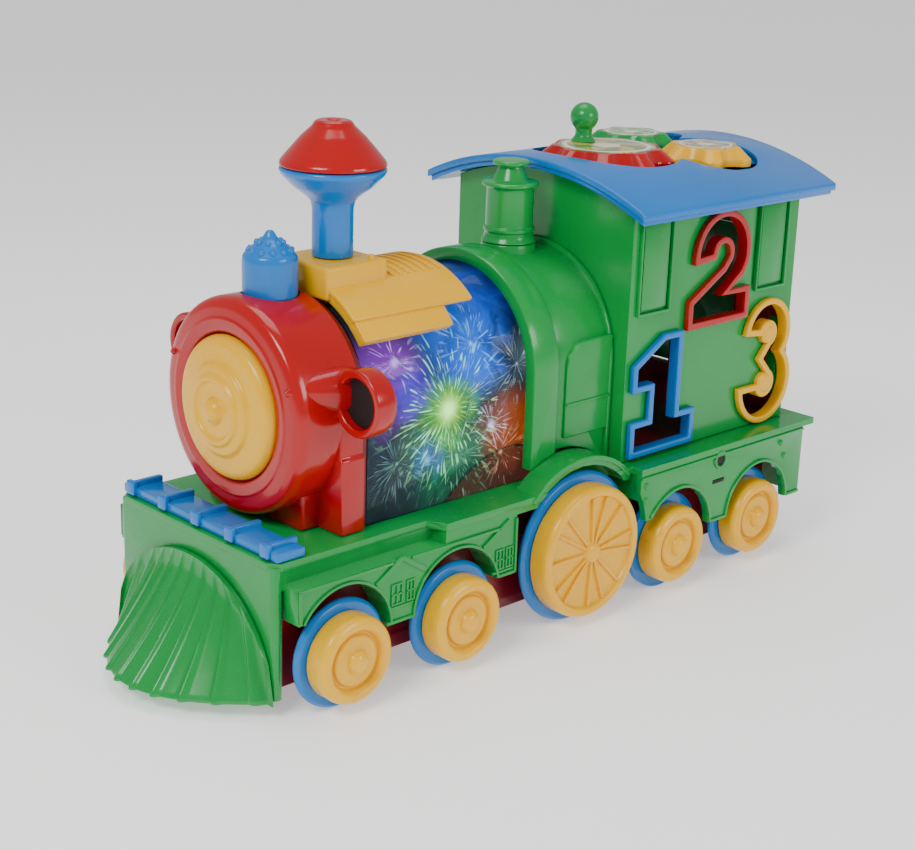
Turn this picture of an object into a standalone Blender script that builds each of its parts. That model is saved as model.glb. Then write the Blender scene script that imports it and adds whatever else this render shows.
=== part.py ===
"""Toy train locomotive: a moulded plastic push-along engine with turning roof gears.

+X points forwards, +Y to the engine's left and +Z up, in metres. The drawing's datum
is the big wheels' axle line, and DATUM_X moves it so that the origin lies under the
middle of the finished engine.
"""

import math

import bmesh
import bpy
from mathutils import Matrix, Vector

# ---------------------------------------------------------------- clearances
GAP = 0.0003            # between two pieces that rest on each other
RUN = 0.0006            # round a piece that turns or slides
LIP = 0.0004            # by which one moulded face stands proud of the next

# ---------------------------------------------------------------- wheels
AXLE_X = (0.1295, 0.0715, 0.0, -0.0575, -0.1140)
BIG_AXLE = 2
DRIVEN_AXLE = 3
SMALL_TREAD = 0.0176
SMALL_FLANGE = 0.0220
BIG_TREAD = 0.0289
BIG_FLANGE = 0.0331
WHEEL_FACE_Y = 0.0670
TREAD_WIDTH = 0.0098
FLANGE_WIDTH = 0.0030
HUB_RADIUS = 0.0056
HUB_RISE = 0.0016         # hub and rings against the tread's face
FACE_RECESS = 0.0020
RIM_EDGE = 0.0016
SPOKES = 12
SPOKE_WIDTH = 0.0014
SPOKE_BURIED = 0.0004     # by which the spokes' back sits below the recessed face
SPOKE_PROUD = 0.0014
FLANGE_EDGE = 0.0008
AXLE_FIT = 0.0001
AXLE_RADIUS = 0.0020
SLEEVE_RADIUS = 0.0042

# ---------------------------------------------------------------- chassis
DECK_TOP = 0.0625
DECK_THICK = 0.0030
CHASSIS_FRONT = 0.1570
CHASSIS_HALF = 0.0506
PANEL_HALF = 0.0582
PANEL_TOP = 0.0540
PANEL_FRONT = 0.1513
PANEL_REAR = 0.0385
PANEL_FOOT = 0.0279
REAR_FOOT = 0.0320
FRONT_FOOT = 0.0395
LEDGE_FRONT = 0.0780
ARCH_RADIUS = 0.0226
ARCH_HEIGHT = 0.0278
FRONT_WALL = 0.0050
FRONT_WALL_FOOT = 0.0075
CORNER_CHAMFER = 0.0040
WALL = 0.0025
FENDER_INNER = 0.0362
FENDER_OUTER = 0.0405
SKIRT_FRONT = -0.0310
SKIRT_REAR = -0.1470
SKIRT_HALF = 0.0643
SKIRT_WALL = 0.0032
SKIRT_FOOT = 0.0269
SKIRT_FRONT_FOOT = 0.0380
SKIRT_ARCH = 0.0220
SKIRT_ARCH_HEIGHT = 0.0263
DECK_REAR = -0.1545
KEYHOLE_X = -0.0848
KEYHOLE_Z = 0.0560
KEYHOLE_RADIUS = 0.0022
SLOT_Z = 0.0460
SLOT_LENGTH = 0.0080
SLOT_HEIGHT = 0.0018

# ---------------------------------------------------------------- cowcatcher
PLOUGH_REACH = 0.0330
PLOUGH_TOP = 0.0525
PLOUGH_FOOT = 0.0075
PLOUGH_HEM = 0.0020       # height of the turned-under foot
PLOUGH_HEM_DEPTH = 0.0040
PLOUGH_RIBS = 10
PLOUGH_RIB_DEPTH = 0.0011

# ---------------------------------------------------------------- buffer step
STEP_REAR = 0.1418
STEP_FRONT = 0.1550
STEP_THICK = 0.0040
STEP_RIBS = 5
STEP_RIB_HEIGHT = 0.0040
STEP_RIB_HALF = 0.0022
STEP_RIB_PROUD = 0.0012
STEP_INSET = 0.0070

# ---------------------------------------------------------------- boiler
BOILER_Z = 0.1075
WINDOW_RADIUS = 0.0410
WINDOW_WALL = 0.0015
WINDOW_FRONT = 0.1045
WINDOW_REAR = 0.0060
SCREEN_WALL = 0.0014
BAND_RADIUS = 0.0470
BAND_FRONT = 0.0200
BAND_REAR = 0.0050
REAR_RADIUS = 0.0445
SMOKEBOX_RADIUS = 0.0429
SMOKEBOX_FRONT = 0.1400
SMOKEBOX_REAR = 0.1080
SMOKEBOX_LIP = 0.0044
DOOR_RADIUS = 0.0284
DOOR_FRONT = 0.1464
PILLAR_FRONT = 0.1195
PILLAR_HALF = 0.0440
PILLAR_TOP = 0.0936
NECK_INSET = 0.0012       # of the smokebox's neck inside the pillars
CHEST_HALF = 0.0300
SMOKEBOX_WALL = 0.0040
DOOR_RECESS = 0.0030
HORN_Y = 0.0528
HORN_Z = 0.1180
HORN_RADIUS = 0.0130
HORN_BORE = 0.0098
HORN_FRONT = 0.1210
HORN_REAR = 0.1110
BUTTON_X = 0.1195
BUTTON_RADIUS = 0.0108
BUTTON_TOP = 0.1736
BUTTON_TRAVEL = 0.0030
BUTTON_CONE = 0.0060
BUTTON_FOOT = BOILER_Z + SMOKEBOX_RADIUS - 0.0030

# ---------------------------------------------------------------- chimney and saddle
CHIMNEY_X = 0.0888
STACK_RADIUS = 0.0082
STACK_NECK = 0.1830
RIM_RADIUS = 0.0212
RIM_Z = 0.1955
CAP_TOP = 0.2134
CAP_TOP_RADIUS = 0.0073
SADDLE_RADIUS = 0.0475
SADDLE_FRONT = 0.1040
SADDLE_REAR = 0.0420
SADDLE_ANGLE = 42.0
APRON_REAR = 0.0570
APRON_ANGLE = 53.0
SADDLE_FLAT = 0.1600
SADDLE_FLAT_REAR = 0.0740
SADDLE_FLAT_HALF = 0.0165
SADDLE_THICK = 0.0022
SADDLE_RIBS = 7
SADDLE_RIB_PITCH = 0.0040
SADDLE_RIB_WIDTH = 0.0012
SADDLE_RIB_RISE = 0.0007
SADDLE_RIB_BURIED = 0.0010
SADDLE_RIB_ANGLE = 17.0
PLUG_RADIUS = 0.0062      # funnel's foot in the saddle
PLUG_DEPTH = 0.0055

# ---------------------------------------------------------------- steam dome
DOME_X = -0.0090
DOME_RADIUS = 0.0102
DOME_RIM = 0.0118
DOME_RIM_Z = 0.1800
DOME_TOP = 0.1885
DOME_TOP_RADIUS = 0.0074

# ---------------------------------------------------------------- cab
CAB_FRONT = -0.0297
CAB_REAR = -0.1443
CAB_HALF = 0.0527
NUMBER_RISE = 0.0028
NUMBER_BAND = 0.0029
PANEL_RECESS = 0.0008
CAB_PANELS = ((-0.0340, -0.0555), (-0.1130, -0.1370))
CAB_PANEL_FOOT = 0.1275
CAB_PANEL_EDGE = 0.0030
BIN_TOP = 0.1260
BIN_WALL = 0.0016
BIN_MARGIN = 0.0012     # by which the bin's openings are larger than the digits
REAR_DOOR_HALF = 0.0290
REAR_DOOR_FOOT = 0.0740
REAR_DOOR_TOP = 0.1500
HINGE_RADIUS = 0.0022
PULL_LENGTH = 0.0060
PULL_RADIUS = 0.0040
PULL_INSET = 0.0080

# ---------------------------------------------------------------- roof and gears
ROOF_FRONT = -0.0207
ROOF_REAR = -0.1539
ROOF_HALF = 0.0653
ROOF_EDGE = 0.1743
ROOF_SAGITTA = 0.0148
ROOF_THICK = 0.0030
FASCIA_DROP = 0.0022
FASCIA_INSET = 0.0014
WELL_FLOOR = 0.1815
WELL_WALL = 0.0020
WELL_GAP = 0.0018
WELL_POINTS = 64
GEAR_TOP = 0.1900
RED_X = -0.0690
RED_LOBES = 9
SMALL_LOBES = 6
LOBE_PITCH = 0.00317      # pitch radius of one lobe
LOBE_DEPTH = 0.0030
LOBE_CLEARANCE = 0.00035
SMALL_GEAR_ANGLE = 152.0
RED_LABEL = 0.0218
SMALL_LABEL = 0.0133
PEG_RADIUS = 0.0040
KNOB_ARM = 0.0143
KNOB_RADIUS = 0.0064
KNOB_Z = 0.2010

# ---------------------------------------------------------------- inside
TRAY_HALF = 0.0460
TRAY_FOOT = 0.0100
TRAY_FRONT = 0.1500
TRAY_REAR = -0.1430
TRAY_WALL = 0.0022
BATTERY_RADIUS = 0.00725
BATTERY_LENGTH = 0.0505
BATTERY_X = 0.0355
BATTERY_GAP = 0.0010
BATTERY_SHIFT = 0.0030    # of the row of cells, away from the door's screw
BATTERY_DOOR_LENGTH = 0.0520
BATTERY_DOOR_HALF = 0.0300
SCREW_Y = -0.0250
SCREW_HOLE = 0.0016
SWITCH_X = -0.0855
SWITCH_TRAVEL = 0.0040
SWITCH_SLOT_HALF = 0.0060
SWITCH_HALF_LENGTH = 0.0030
SPEAKER_RADIUS = 0.0180
SPEAKER_X = 0.1005
MOTOR_RADIUS = 0.0076
PINION_TEETH = 8
AXLE_GEAR_TEETH = 20
TOOTH_PITCH = 0.00045     # pitch radius of one tooth
PINION_TURN = 1.0         # in half teeth
TOOTH_DEPTH = 0.00042
TOOTH_CLEARANCE = 0.00012
DRIVE_LOW = 0.0120
DRIVE_WIDTH = 0.0050
MOTOR_LENGTH = 0.0240
BOARD_LENGTH = 0.0400
BOARD_HALF = 0.0380
BOARD_FOOT = 0.0500
BOARD_THICK = 0.0016

# ---------------------------------------------------------------- worked out
# The two middle ribs of an even number stand beside the plough's middle.
PLOUGH_NOSE = CHASSIS_FRONT + PLOUGH_REACH * (1 - PLOUGH_RIBS ** -2)
DATUM_X = -(PLOUGH_NOSE + DECK_REAR) / 2
TREAD_BACK_Y = WHEEL_FACE_Y - TREAD_WIDTH
ROOF_RADIUS = (ROOF_HALF ** 2 + ROOF_SAGITTA ** 2) / (2 * ROOF_SAGITTA)
RED_PITCH = LOBE_PITCH * RED_LOBES
SMALL_PITCH = LOBE_PITCH * SMALL_LOBES
GEAR_SPAN = RED_PITCH + SMALL_PITCH
WINDOW_FOOT = DECK_TOP + GAP
SIDES = (("left", 1), ("right", -1))

COLOURS = {
    "green": ((0.012, 0.42, 0.085), 0.28, 0.0),
    "blue": ((0.006, 0.21, 0.72), 0.26, 0.0),
    "red": ((0.72, 0.008, 0.012), 0.24, 0.0),
    "dark_red": ((0.20, 0.006, 0.010), 0.35, 0.0),
    "yellow": ((0.90, 0.60, 0.006), 0.27, 0.0),
    "clear": ((0.80, 0.86, 0.92), 0.05, 0.0),
    "screen": ((0.02, 0.05, 0.10), 0.20, 0.3),
    "steel": ((0.60, 0.61, 0.63), 0.28, 1.0),
    "circuit": ((0.01, 0.16, 0.06), 0.50, 0.0),
    "black": ((0.02, 0.02, 0.022), 0.45, 0.0),
    "battery": ((0.05, 0.05, 0.06), 0.30, 0.6),
}

for old in list(bpy.data.objects):
    bpy.data.objects.remove(old, do_unlink=True)

PARTS = bpy.data.collections.new("toy_train_locomotive")
CUTTERS = bpy.data.collections.new("cutters")
bpy.context.scene.collection.children.link(PARTS)
bpy.context.scene.collection.children.link(CUTTERS)

ENGINE = bpy.data.objects.new("engine_datum", None)
ENGINE.location = (DATUM_X, 0, 0)
PARTS.objects.link(ENGINE)


# ---------------------------------------------------------------- shared making
def finish_material(name):
    """The plastic or metal of one colour, made once."""
    found = bpy.data.materials.get(name)
    if found:
        return found
    colour, roughness, metallic = COLOURS[name]
    made = bpy.data.materials.new(name)
    made.use_nodes = True
    shader = made.node_tree.nodes["Principled BSDF"]
    shader.inputs["Base Color"].default_value = (*colour, 1)
    shader.inputs["Roughness"].default_value = roughness
    shader.inputs["Metallic"].default_value = metallic
    made.diffuse_color = (*colour, 1)
    return made


def place(name, mesh, finish, location=(0, 0, 0), parent=None):
    """One named piece of the engine."""
    piece = bpy.data.objects.new(name, mesh)
    PARTS.objects.link(piece)
    mesh.materials.clear()
    mesh.materials.append(finish_material(finish))
    mesh.shade_smooth()
    mesh.set_sharp_from_angle(angle=math.radians(35))
    piece.location = location
    piece.parent = parent or ENGINE
    return piece


def helper(mesh, location=(0, 0, 0), parent=None):
    """A solid that only cuts or joins, kept out of the build."""
    tool = bpy.data.objects.new("helper_" + mesh.name, mesh)
    CUTTERS.objects.link(tool)
    tool.location = location
    tool.parent = parent or ENGINE
    tool.hide_render = True
    tool.display_type = "WIRE"
    return tool


def combine(piece, mesh, operation):
    """Cuts, joins or intersects a piece with one more mesh in the piece's own place."""
    modifier = piece.modifiers.new(operation.lower(), "BOOLEAN")
    modifier.operation = operation
    modifier.solver = "EXACT"
    tool = helper(mesh, piece.location, piece.parent)
    modifier.object = tool
    return tool


def join(piece, *meshes):
    for mesh in meshes:
        combine(piece, mesh, "UNION")


def cut(piece, *meshes):
    for mesh in meshes:
        combine(piece, mesh, "DIFFERENCE")


def from_bmesh(name, bm):
    bmesh.ops.recalc_face_normals(bm, faces=bm.faces)
    mesh = bpy.data.meshes.new(name)
    bm.to_mesh(mesh)
    bm.free()
    return mesh


def box(low, high, chamfer=0.0, chamfer_axis=2):
    """A block between two corners, its edges along one axis chamfered if asked."""
    low, high = Vector(low), Vector(high)
    bm = bmesh.new()
    scale = Matrix.Diagonal((*(high - low), 1))
    bmesh.ops.create_cube(bm, size=1, matrix=Matrix.Translation((low + high) / 2) @ scale)
    if chamfer:
        along = [
            edge for edge in bm.edges
            if abs((edge.verts[0].co - edge.verts[1].co)[chamfer_axis]) > 1e-6
        ]
        bmesh.ops.bevel(bm, geom=along, offset=chamfer, segments=2, affect="EDGES", profile=0.5)
    return from_bmesh("box", bm)


AXIS_TURN = {
    "X": Matrix.Rotation(math.pi / 2, 4, "Y"),
    "Y": Matrix.Rotation(-math.pi / 2, 4, "X"),
    "Z": Matrix.Identity(4),
}


def rod(start, length, radius, axis, sides=24, end_radius=None):
    """A round bar or a cone from a start point along +X, +Y or +Z."""
    bm = bmesh.new()
    turn = AXIS_TURN[axis]
    middle = Vector(start) + turn.to_3x3() @ Vector((0, 0, length / 2))
    bmesh.ops.create_cone(
        bm, cap_ends=True, segments=sides, radius1=radius,
        radius2=radius if end_radius is None else end_radius, depth=length,
        matrix=Matrix.Translation(middle) @ turn,
    )
    return from_bmesh("rod", bm)


def turned(name, profile, axis="Z", centre=(0, 0, 0), sides=32):
    """A solid of revolution. The profile is (radius, height) pairs from its top down."""
    bm = bmesh.new()
    row = [bm.verts.new((radius, 0, height)) for radius, height in profile]
    for upper, lower in zip(row, row[1:]):
        bm.edges.new((upper, lower))
    mesh = bpy.data.meshes.new(name + "_profile")
    bm.to_mesh(mesh)
    bm.free()
    source = bpy.data.objects.new(name + "_profile", mesh)
    bpy.context.scene.collection.objects.link(source)
    screw = source.modifiers.new("turn", "SCREW")
    screw.steps = screw.render_steps = sides
    screw.use_merge_vertices = True
    screw.merge_threshold = 0.00005
    screw.use_smooth_shade = True
    made = evaluated_mesh(source, name)
    made.transform(Matrix.Translation(centre) @ AXIS_TURN[axis])
    return made


def evaluated_mesh(source, name):
    """The finished mesh of an object, which is then removed."""
    graph = bpy.context.evaluated_depsgraph_get()
    made = bpy.data.meshes.new_from_object(source.evaluated_get(graph))
    made.name = name
    bpy.data.objects.remove(source, do_unlink=True)
    bm = bmesh.new()
    bm.from_mesh(made)
    bmesh.ops.remove_doubles(bm, verts=bm.verts, dist=1e-6)
    bmesh.ops.recalc_face_normals(bm, faces=bm.faces)
    bm.to_mesh(made)
    bm.free()
    return made


PLANE_TURN = {
    "XY": Matrix.Identity(4),
    "XZ": Matrix(((1, 0, 0, 0), (0, 0, -1, 0), (0, 1, 0, 0), (0, 0, 0, 1))),
    "YZ": Matrix(((0, 0, 1, 0), (1, 0, 0, 0), (0, 1, 0, 0), (0, 0, 0, 1))),
}


def plate(outlines, plane, low, high):
    """A flat outline, with any holes, extruded between two levels of its normal axis."""
    curve = bpy.data.curves.new("plate", "CURVE")
    curve.dimensions = "2D"
    curve.fill_mode = "BOTH"
    curve.extrude = (high - low) / 2
    for outline in outlines:
        spline = curve.splines.new("POLY")
        spline.points.add(len(outline) - 1)
        for point, (across, up) in zip(spline.points, outline):
            point.co = (across, up, 0, 1)
        spline.use_cyclic_u = True
    source = bpy.data.objects.new("plate", curve)
    bpy.context.scene.collection.objects.link(source)
    made = evaluated_mesh(source, "plate")
    bpy.data.curves.remove(curve)
    level = (low + high) / 2
    # The XZ plane's own normal points along -Y.
    normal = {"XY": (0, 0, level), "XZ": (0, level, 0), "YZ": (level, 0, 0)}[plane]
    made.transform(Matrix.Translation(normal) @ PLANE_TURN[plane])
    return made


def arc(centre, radius, start, end, steps):
    """Points along an arc, in degrees, both ends included."""
    return [
        (
            centre[0] + radius * math.cos(math.radians(start + (end - start) * i / steps)),
            centre[1] + radius * math.sin(math.radians(start + (end - start) * i / steps)),
        )
        for i in range(steps + 1)
    ]


def offset_outline(outline, distance):
    """The outline moved outwards by a distance, with mitred corners."""
    area = sum(a[0] * b[1] - b[0] * a[1] for a, b in zip(outline, outline[1:] + outline[:1]))
    turn = 1 if area > 0 else -1
    moved = []
    count = len(outline)
    for i, point in enumerate(outline):
        before = Vector(point) - Vector(outline[i - 1])
        after = Vector(outline[(i + 1) % count]) - Vector(point)
        first = Vector((before.y, -before.x)).normalized()
        second = Vector((after.y, -after.x)).normalized()
        middle = (first + second).normalized()
        reach = distance / max(middle.dot(first), 0.5)
        moved.append(tuple(Vector(point) + turn * reach * middle))
    return moved


def mirrored(mesh):
    """A copy of a mesh on the engine's other side."""
    bm = bmesh.new()
    bm.from_mesh(mesh)
    bmesh.ops.scale(bm, vec=(1, -1, 1), verts=bm.verts)
    bmesh.ops.reverse_faces(bm, faces=bm.faces)
    made = bpy.data.meshes.new(mesh.name + "_right")
    bm.to_mesh(made)
    bm.free()
    return made


def both_sides(mesh):
    return mesh, mirrored(mesh)


def turned_round(mesh):
    """The mesh, and a copy turned half round the cab, so that a digit reads right on both."""
    copy = mesh.copy()
    middle = Matrix.Translation(((CAB_FRONT + CAB_REAR) / 2, 0, 0))
    copy.transform(middle @ Matrix.Rotation(math.pi, 4, "Z") @ middle.inverted())
    return mesh, copy


def hood(radius, foot, steps=20):
    """A boiler section in the YZ plane: a half round on straight sides."""
    return [(radius, foot)] + arc((0, BOILER_Z), radius, 0, 180, steps) + [(-radius, foot)]


def hood_shell(outer, inner, foot, rear, front, steps=20):
    """A hood open below, from one end to the other."""
    ring = hood(outer, foot, steps) + hood(inner, foot, steps)[::-1]
    return plate([ring], "YZ", rear, front)


# ---------------------------------------------------------------- chassis
def axle_height(index):
    return BIG_FLANGE if index == BIG_AXLE else SMALL_FLANGE


def deck_outline():
    half = [
        (CHASSIS_FRONT, CHASSIS_HALF - CORNER_CHAMFER),
        (CHASSIS_FRONT - CORNER_CHAMFER, CHASSIS_HALF),
        (LEDGE_FRONT + (PANEL_HALF - CHASSIS_HALF) / 2, CHASSIS_HALF),
        (LEDGE_FRONT, PANEL_HALF + LIP),
        (SKIRT_FRONT, PANEL_HALF + LIP),
        (SKIRT_FRONT, SKIRT_HALF + LIP),
        (DECK_REAR, SKIRT_HALF + LIP),
    ]
    return half + [(x, -y) for x, y in reversed(half)]


def arch_points(centre, radius, foot_before, foot_after, steps=12):
    """An arch in the XZ plane, from the foot in front of it over to the one behind."""
    start = math.degrees(math.asin(max((foot_before - centre[1]) / radius, 0)))
    end = 180 - math.degrees(math.asin(max((foot_after - centre[1]) / radius, 0)))
    return arc(centre, radius, start, end, steps)


def side_wall_outline():
    """The wall behind the panels, over both small wheels and round the big one's fender."""
    joined = DECK_TOP - DECK_THICK / 2
    low = DECK_TOP - DECK_THICK - WALL
    big = (AXLE_X[BIG_AXLE], axle_height(BIG_AXLE))
    lift = math.degrees(math.asin((joined - big[1]) / FENDER_OUTER))
    return [
        (PANEL_FRONT, FRONT_FOOT), (PANEL_FRONT, PANEL_TOP), (LEDGE_FRONT, PANEL_TOP),
        (LEDGE_FRONT, joined),
    ] + arc(big, FENDER_OUTER, lift, 180 - lift, 14) + [
        (SKIRT_FRONT, joined), (SKIRT_FRONT, low), (PANEL_REAR, low), (PANEL_REAR, REAR_FOOT),
    ] + arch_points((AXLE_X[1], ARCH_HEIGHT), ARCH_RADIUS, PANEL_FOOT, REAR_FOOT)[::-1] + (
        arch_points((AXLE_X[0], ARCH_HEIGHT), ARCH_RADIUS, FRONT_FOOT, PANEL_FOOT)[::-1]
    )


def skirt_outline():
    joined = DECK_TOP - DECK_THICK / 2
    front = (AXLE_X[3], SKIRT_ARCH_HEIGHT)
    rear = (AXLE_X[4], SKIRT_ARCH_HEIGHT)
    return [
        (SKIRT_FRONT, SKIRT_FRONT_FOOT), (SKIRT_FRONT, joined),
        (SKIRT_REAR, joined), (SKIRT_REAR, SKIRT_FOOT),
    ] + arch_points(rear, SKIRT_ARCH, SKIRT_FOOT, SKIRT_FOOT)[::-1] + (
        arch_points(front, SKIRT_ARCH, SKIRT_FRONT_FOOT, SKIRT_FOOT)[::-1]
    )


def make_chassis():
    """Deck, front wall, arched side panels, big wheel fenders and the cab's skirts."""
    deck_foot = DECK_TOP - DECK_THICK
    joined = DECK_TOP - DECK_THICK / 2
    tray_clear = TRAY_HALF + RUN
    chassis = place("chassis", plate([deck_outline()], "XY", deck_foot, DECK_TOP), "green")
    front_wall = box(
        (CHASSIS_FRONT - FRONT_WALL, -CHASSIS_HALF + LIP, FRONT_WALL_FOOT),
        (CHASSIS_FRONT - LIP, CHASSIS_HALF - LIP, joined), CORNER_CHAMFER * 0.5,
    )
    side_wall = plate([side_wall_outline()], "XZ", tray_clear, PANEL_HALF)
    upper_wall = box((LEDGE_FRONT - WALL, tray_clear + LIP, PANEL_TOP - WALL),
                     (CHASSIS_FRONT - FRONT_WALL / 2, CHASSIS_HALF - 2 * LIP, joined + LIP))
    join(chassis, front_wall, *both_sides(side_wall), *both_sides(upper_wall))
    skirt = plate([skirt_outline()], "XZ", SKIRT_HALF - SKIRT_WALL, SKIRT_HALF)
    skirt_end = box((SKIRT_FRONT - WALL, tray_clear, SKIRT_FRONT_FOOT + LIP),
                    (SKIRT_FRONT - LIP, SKIRT_HALF - WALL / 2, joined + LIP))
    rear_wall = box((SKIRT_REAR + LIP, -SKIRT_HALF + WALL / 2, SKIRT_FOOT + LIP),
                    (SKIRT_REAR + WALL, SKIRT_HALF - WALL / 2, joined + LIP))
    join(chassis, *both_sides(skirt), *both_sides(skirt_end), rear_wall)

    well = rod((AXLE_X[BIG_AXLE], tray_clear + WALL, axle_height(BIG_AXLE)),
               SKIRT_HALF - tray_clear, FENDER_INNER, "Y", 32)
    cut(chassis, *both_sides(well))
    keyhole = rod((KEYHOLE_X, SKIRT_HALF - 2 * SKIRT_WALL, KEYHOLE_Z), 3 * SKIRT_WALL,
                  KEYHOLE_RADIUS, "Y", 16)
    slot = box((KEYHOLE_X - SLOT_LENGTH / 2, SKIRT_HALF - 2 * SKIRT_WALL, SLOT_Z - SLOT_HEIGHT / 2),
               (KEYHOLE_X + SLOT_LENGTH / 2, SKIRT_HALF + WALL, SLOT_Z + SLOT_HEIGHT / 2))
    cut(chassis, *both_sides(keyhole), *both_sides(slot))
    return chassis


# ---------------------------------------------------------------- cowcatcher
def plough_point(share, drop, rib):
    """A point of the plough: share runs from -1 to 1 across, drop from 0 at its top to 1."""
    base_y = CHASSIS_HALF * share
    pull = 0.66 * share + 0.34 * share ** 15
    top_y = CHASSIS_HALF * pull
    top_z = FRONT_WALL_FOOT + (PLOUGH_TOP - FRONT_WALL_FOOT) * math.sqrt(max(1 - pull ** 2, 0))
    foot = CHASSIS_FRONT + PLOUGH_REACH * (1 - share ** 2)
    y = top_y + (base_y - top_y) * drop
    z = top_z + (PLOUGH_FOOT - top_z) * drop
    start = CHASSIS_FRONT + 2 * GAP + PLOUGH_RIB_DEPTH
    x = start + (foot - start) * drop ** 1.35 - PLOUGH_RIB_DEPTH * (1 - rib) * min(drop * 6, 1)
    return Vector((x, y, z))


def make_cowcatcher():
    """A flared plough with ribs that fan out from the front wall to its foot."""
    per_rib = 4
    columns = PLOUGH_RIBS * per_rib
    rows = 6
    bm = bmesh.new()
    back_x = CHASSIS_FRONT + GAP
    grid = []
    for row in range(rows + 1):
        line = []
        for column in range(columns + 1):
            share = -1 + 2 * column / columns
            rib = 0.5 - 0.5 * math.cos(2 * math.pi * column / per_rib)
            line.append(bm.verts.new(plough_point(share, row / rows, rib)))
        grid.append(line)
    grid.append([
        bm.verts.new((max(v.co.x - PLOUGH_HEM_DEPTH, back_x + GAP), v.co.y,
                      PLOUGH_FOOT - PLOUGH_HEM))
        for v in grid[-1]
    ])
    for upper, lower in zip(grid, grid[1:]):
        for i in range(columns):
            bm.faces.new((upper[i], lower[i], lower[i + 1], upper[i + 1]))
    rim = grid[0] + [line[-1] for line in grid[1:-1]]
    rim += list(reversed(grid[-1])) + [line[0] for line in reversed(grid[1:-1])]
    back = [bm.verts.new((back_x, v.co.y, v.co.z)) for v in rim]
    for i, vert in enumerate(rim):
        after = (i + 1) % len(rim)
        bm.faces.new((vert, rim[after], back[after], back[i]))
    bm.faces.new(back)
    bmesh.ops.triangulate(bm, faces=bm.faces)
    return place("cowcatcher", from_bmesh("cowcatcher", bm), "green")


def make_buffer_step():
    """The blue tread plate across the front of the deck, with its five ribs."""
    low = DECK_TOP + GAP
    step = place("buffer_step", box(
        (STEP_REAR, -CHASSIS_HALF, low), (STEP_FRONT, CHASSIS_HALF, low + STEP_THICK),
        STEP_THICK * 0.4, 1,
    ), "blue")
    reach = CHASSIS_HALF - STEP_INSET
    spacing = 2 * reach / (STEP_RIBS - 1)
    for i in range(STEP_RIBS):
        y = -reach + spacing * i
        rib = box((STEP_REAR - LIP, y - STEP_RIB_HALF, low + 2 * LIP),
                  (STEP_FRONT + STEP_RIB_PROUD, y + STEP_RIB_HALF,
                   low + STEP_RIB_HEIGHT + STEP_RIB_PROUD))
        join(step, rib)
    return step


# ---------------------------------------------------------------- wheels
def wheel_profile(tread, big):
    """From the hub's outer face, over the tread, to the back, along the axle."""
    outer = TREAD_WIDTH
    edge = RIM_EDGE
    bore = AXLE_RADIUS
    blind = outer - FACE_RECESS
    if big:
        face = [
            (0, outer + 0.75 * HUB_RISE), (HUB_RADIUS, outer - 0.0004),
            (HUB_RADIUS * 1.15, outer - FACE_RECESS), (tread * 0.84, outer - FACE_RECESS),
            (tread * 0.87, outer - 0.0003), (tread - edge, outer),
        ]
    else:
        face = [
            (0, outer + HUB_RISE), (HUB_RADIUS, outer - 0.0004),
            (HUB_RADIUS * 1.2, outer - 0.9 * FACE_RECESS), (tread * 0.60, outer - 0.0014),
            (tread * 0.66, outer - 0.0002), (tread - edge, outer),
        ]
    back = [
        (tread, outer - edge),
        (tread, 0), (bore, 0), (bore, blind), (0, blind),
    ]
    return face + back


def make_wheelset(index):
    """Two yellow wheels on a steel axle, with a blue flanged sleeve between them."""
    big = index == BIG_AXLE
    number = index + 1
    tread = BIG_TREAD if big else SMALL_TREAD
    flange = BIG_FLANGE if big else SMALL_FLANGE
    hub = bpy.data.objects.new(f"wheelset_{number}_centre", None)
    hub.location = (AXLE_X[index], 0, axle_height(index))
    hub.parent = ENGINE
    PARTS.objects.link(hub)
    sides = 24 if big else 16

    wheel = turned("wheel", wheel_profile(tread, big), "Y", (0, TREAD_BACK_Y, 0), sides)
    face = TREAD_BACK_Y + TREAD_WIDTH
    spokes = plate([spoke_outline(tread * 0.855)], "XZ",
                   face - FACE_RECESS - SPOKE_BURIED, face - FACE_RECESS + SPOKE_PROUD)
    for (side, _), mesh, star in zip(SIDES, both_sides(wheel), both_sides(spokes)):
        placed = place(f"wheel_{number}_{side}", mesh, "yellow", parent=hub)
        if big:
            join(placed, star)

    sleeve_end = TREAD_BACK_Y - GAP
    flange_inner = sleeve_end - FLANGE_WIDTH
    bore = AXLE_RADIUS + GAP
    profile = [
        (bore, sleeve_end), (flange - FLANGE_EDGE, sleeve_end),
        (flange, sleeve_end - FLANGE_EDGE),
        (flange, flange_inner), (SLEEVE_RADIUS, flange_inner),
        (SLEEVE_RADIUS, -flange_inner), (flange, -flange_inner),
        (flange, -sleeve_end + FLANGE_EDGE),
        (flange - FLANGE_EDGE, -sleeve_end), (bore, -sleeve_end),
        (bore, sleeve_end),
    ]
    place(f"flanged_sleeve_{number}", turned("sleeve", profile, "Y", sides=sides), "blue",
          parent=hub)
    half = WHEEL_FACE_Y - FACE_RECESS - 2 * GAP
    steel = rod((0, -half, 0), 2 * half, AXLE_RADIUS - AXLE_FIT, "Y", 12)
    place(f"axle_{number}", steel, "steel", parent=hub)
    return hub


def spoke_outline(reach):
    """The big wheel's thin spokes as one star, whose roots lie inside the hub."""
    outline = []
    for i in range(SPOKES):
        way = 2 * math.pi * i / SPOKES
        lean = math.asin(SPOKE_WIDTH / 2 / reach)
        outline.append((reach * math.cos(way - lean), reach * math.sin(way - lean)))
        outline.append((reach * math.cos(way + lean), reach * math.sin(way + lean)))
        root = SPOKE_WIDTH / 2 / math.sin(math.pi / SPOKES)
        middle = way + math.pi / SPOKES
        outline.append((root * math.cos(middle), root * math.sin(middle)))
    return outline


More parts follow.
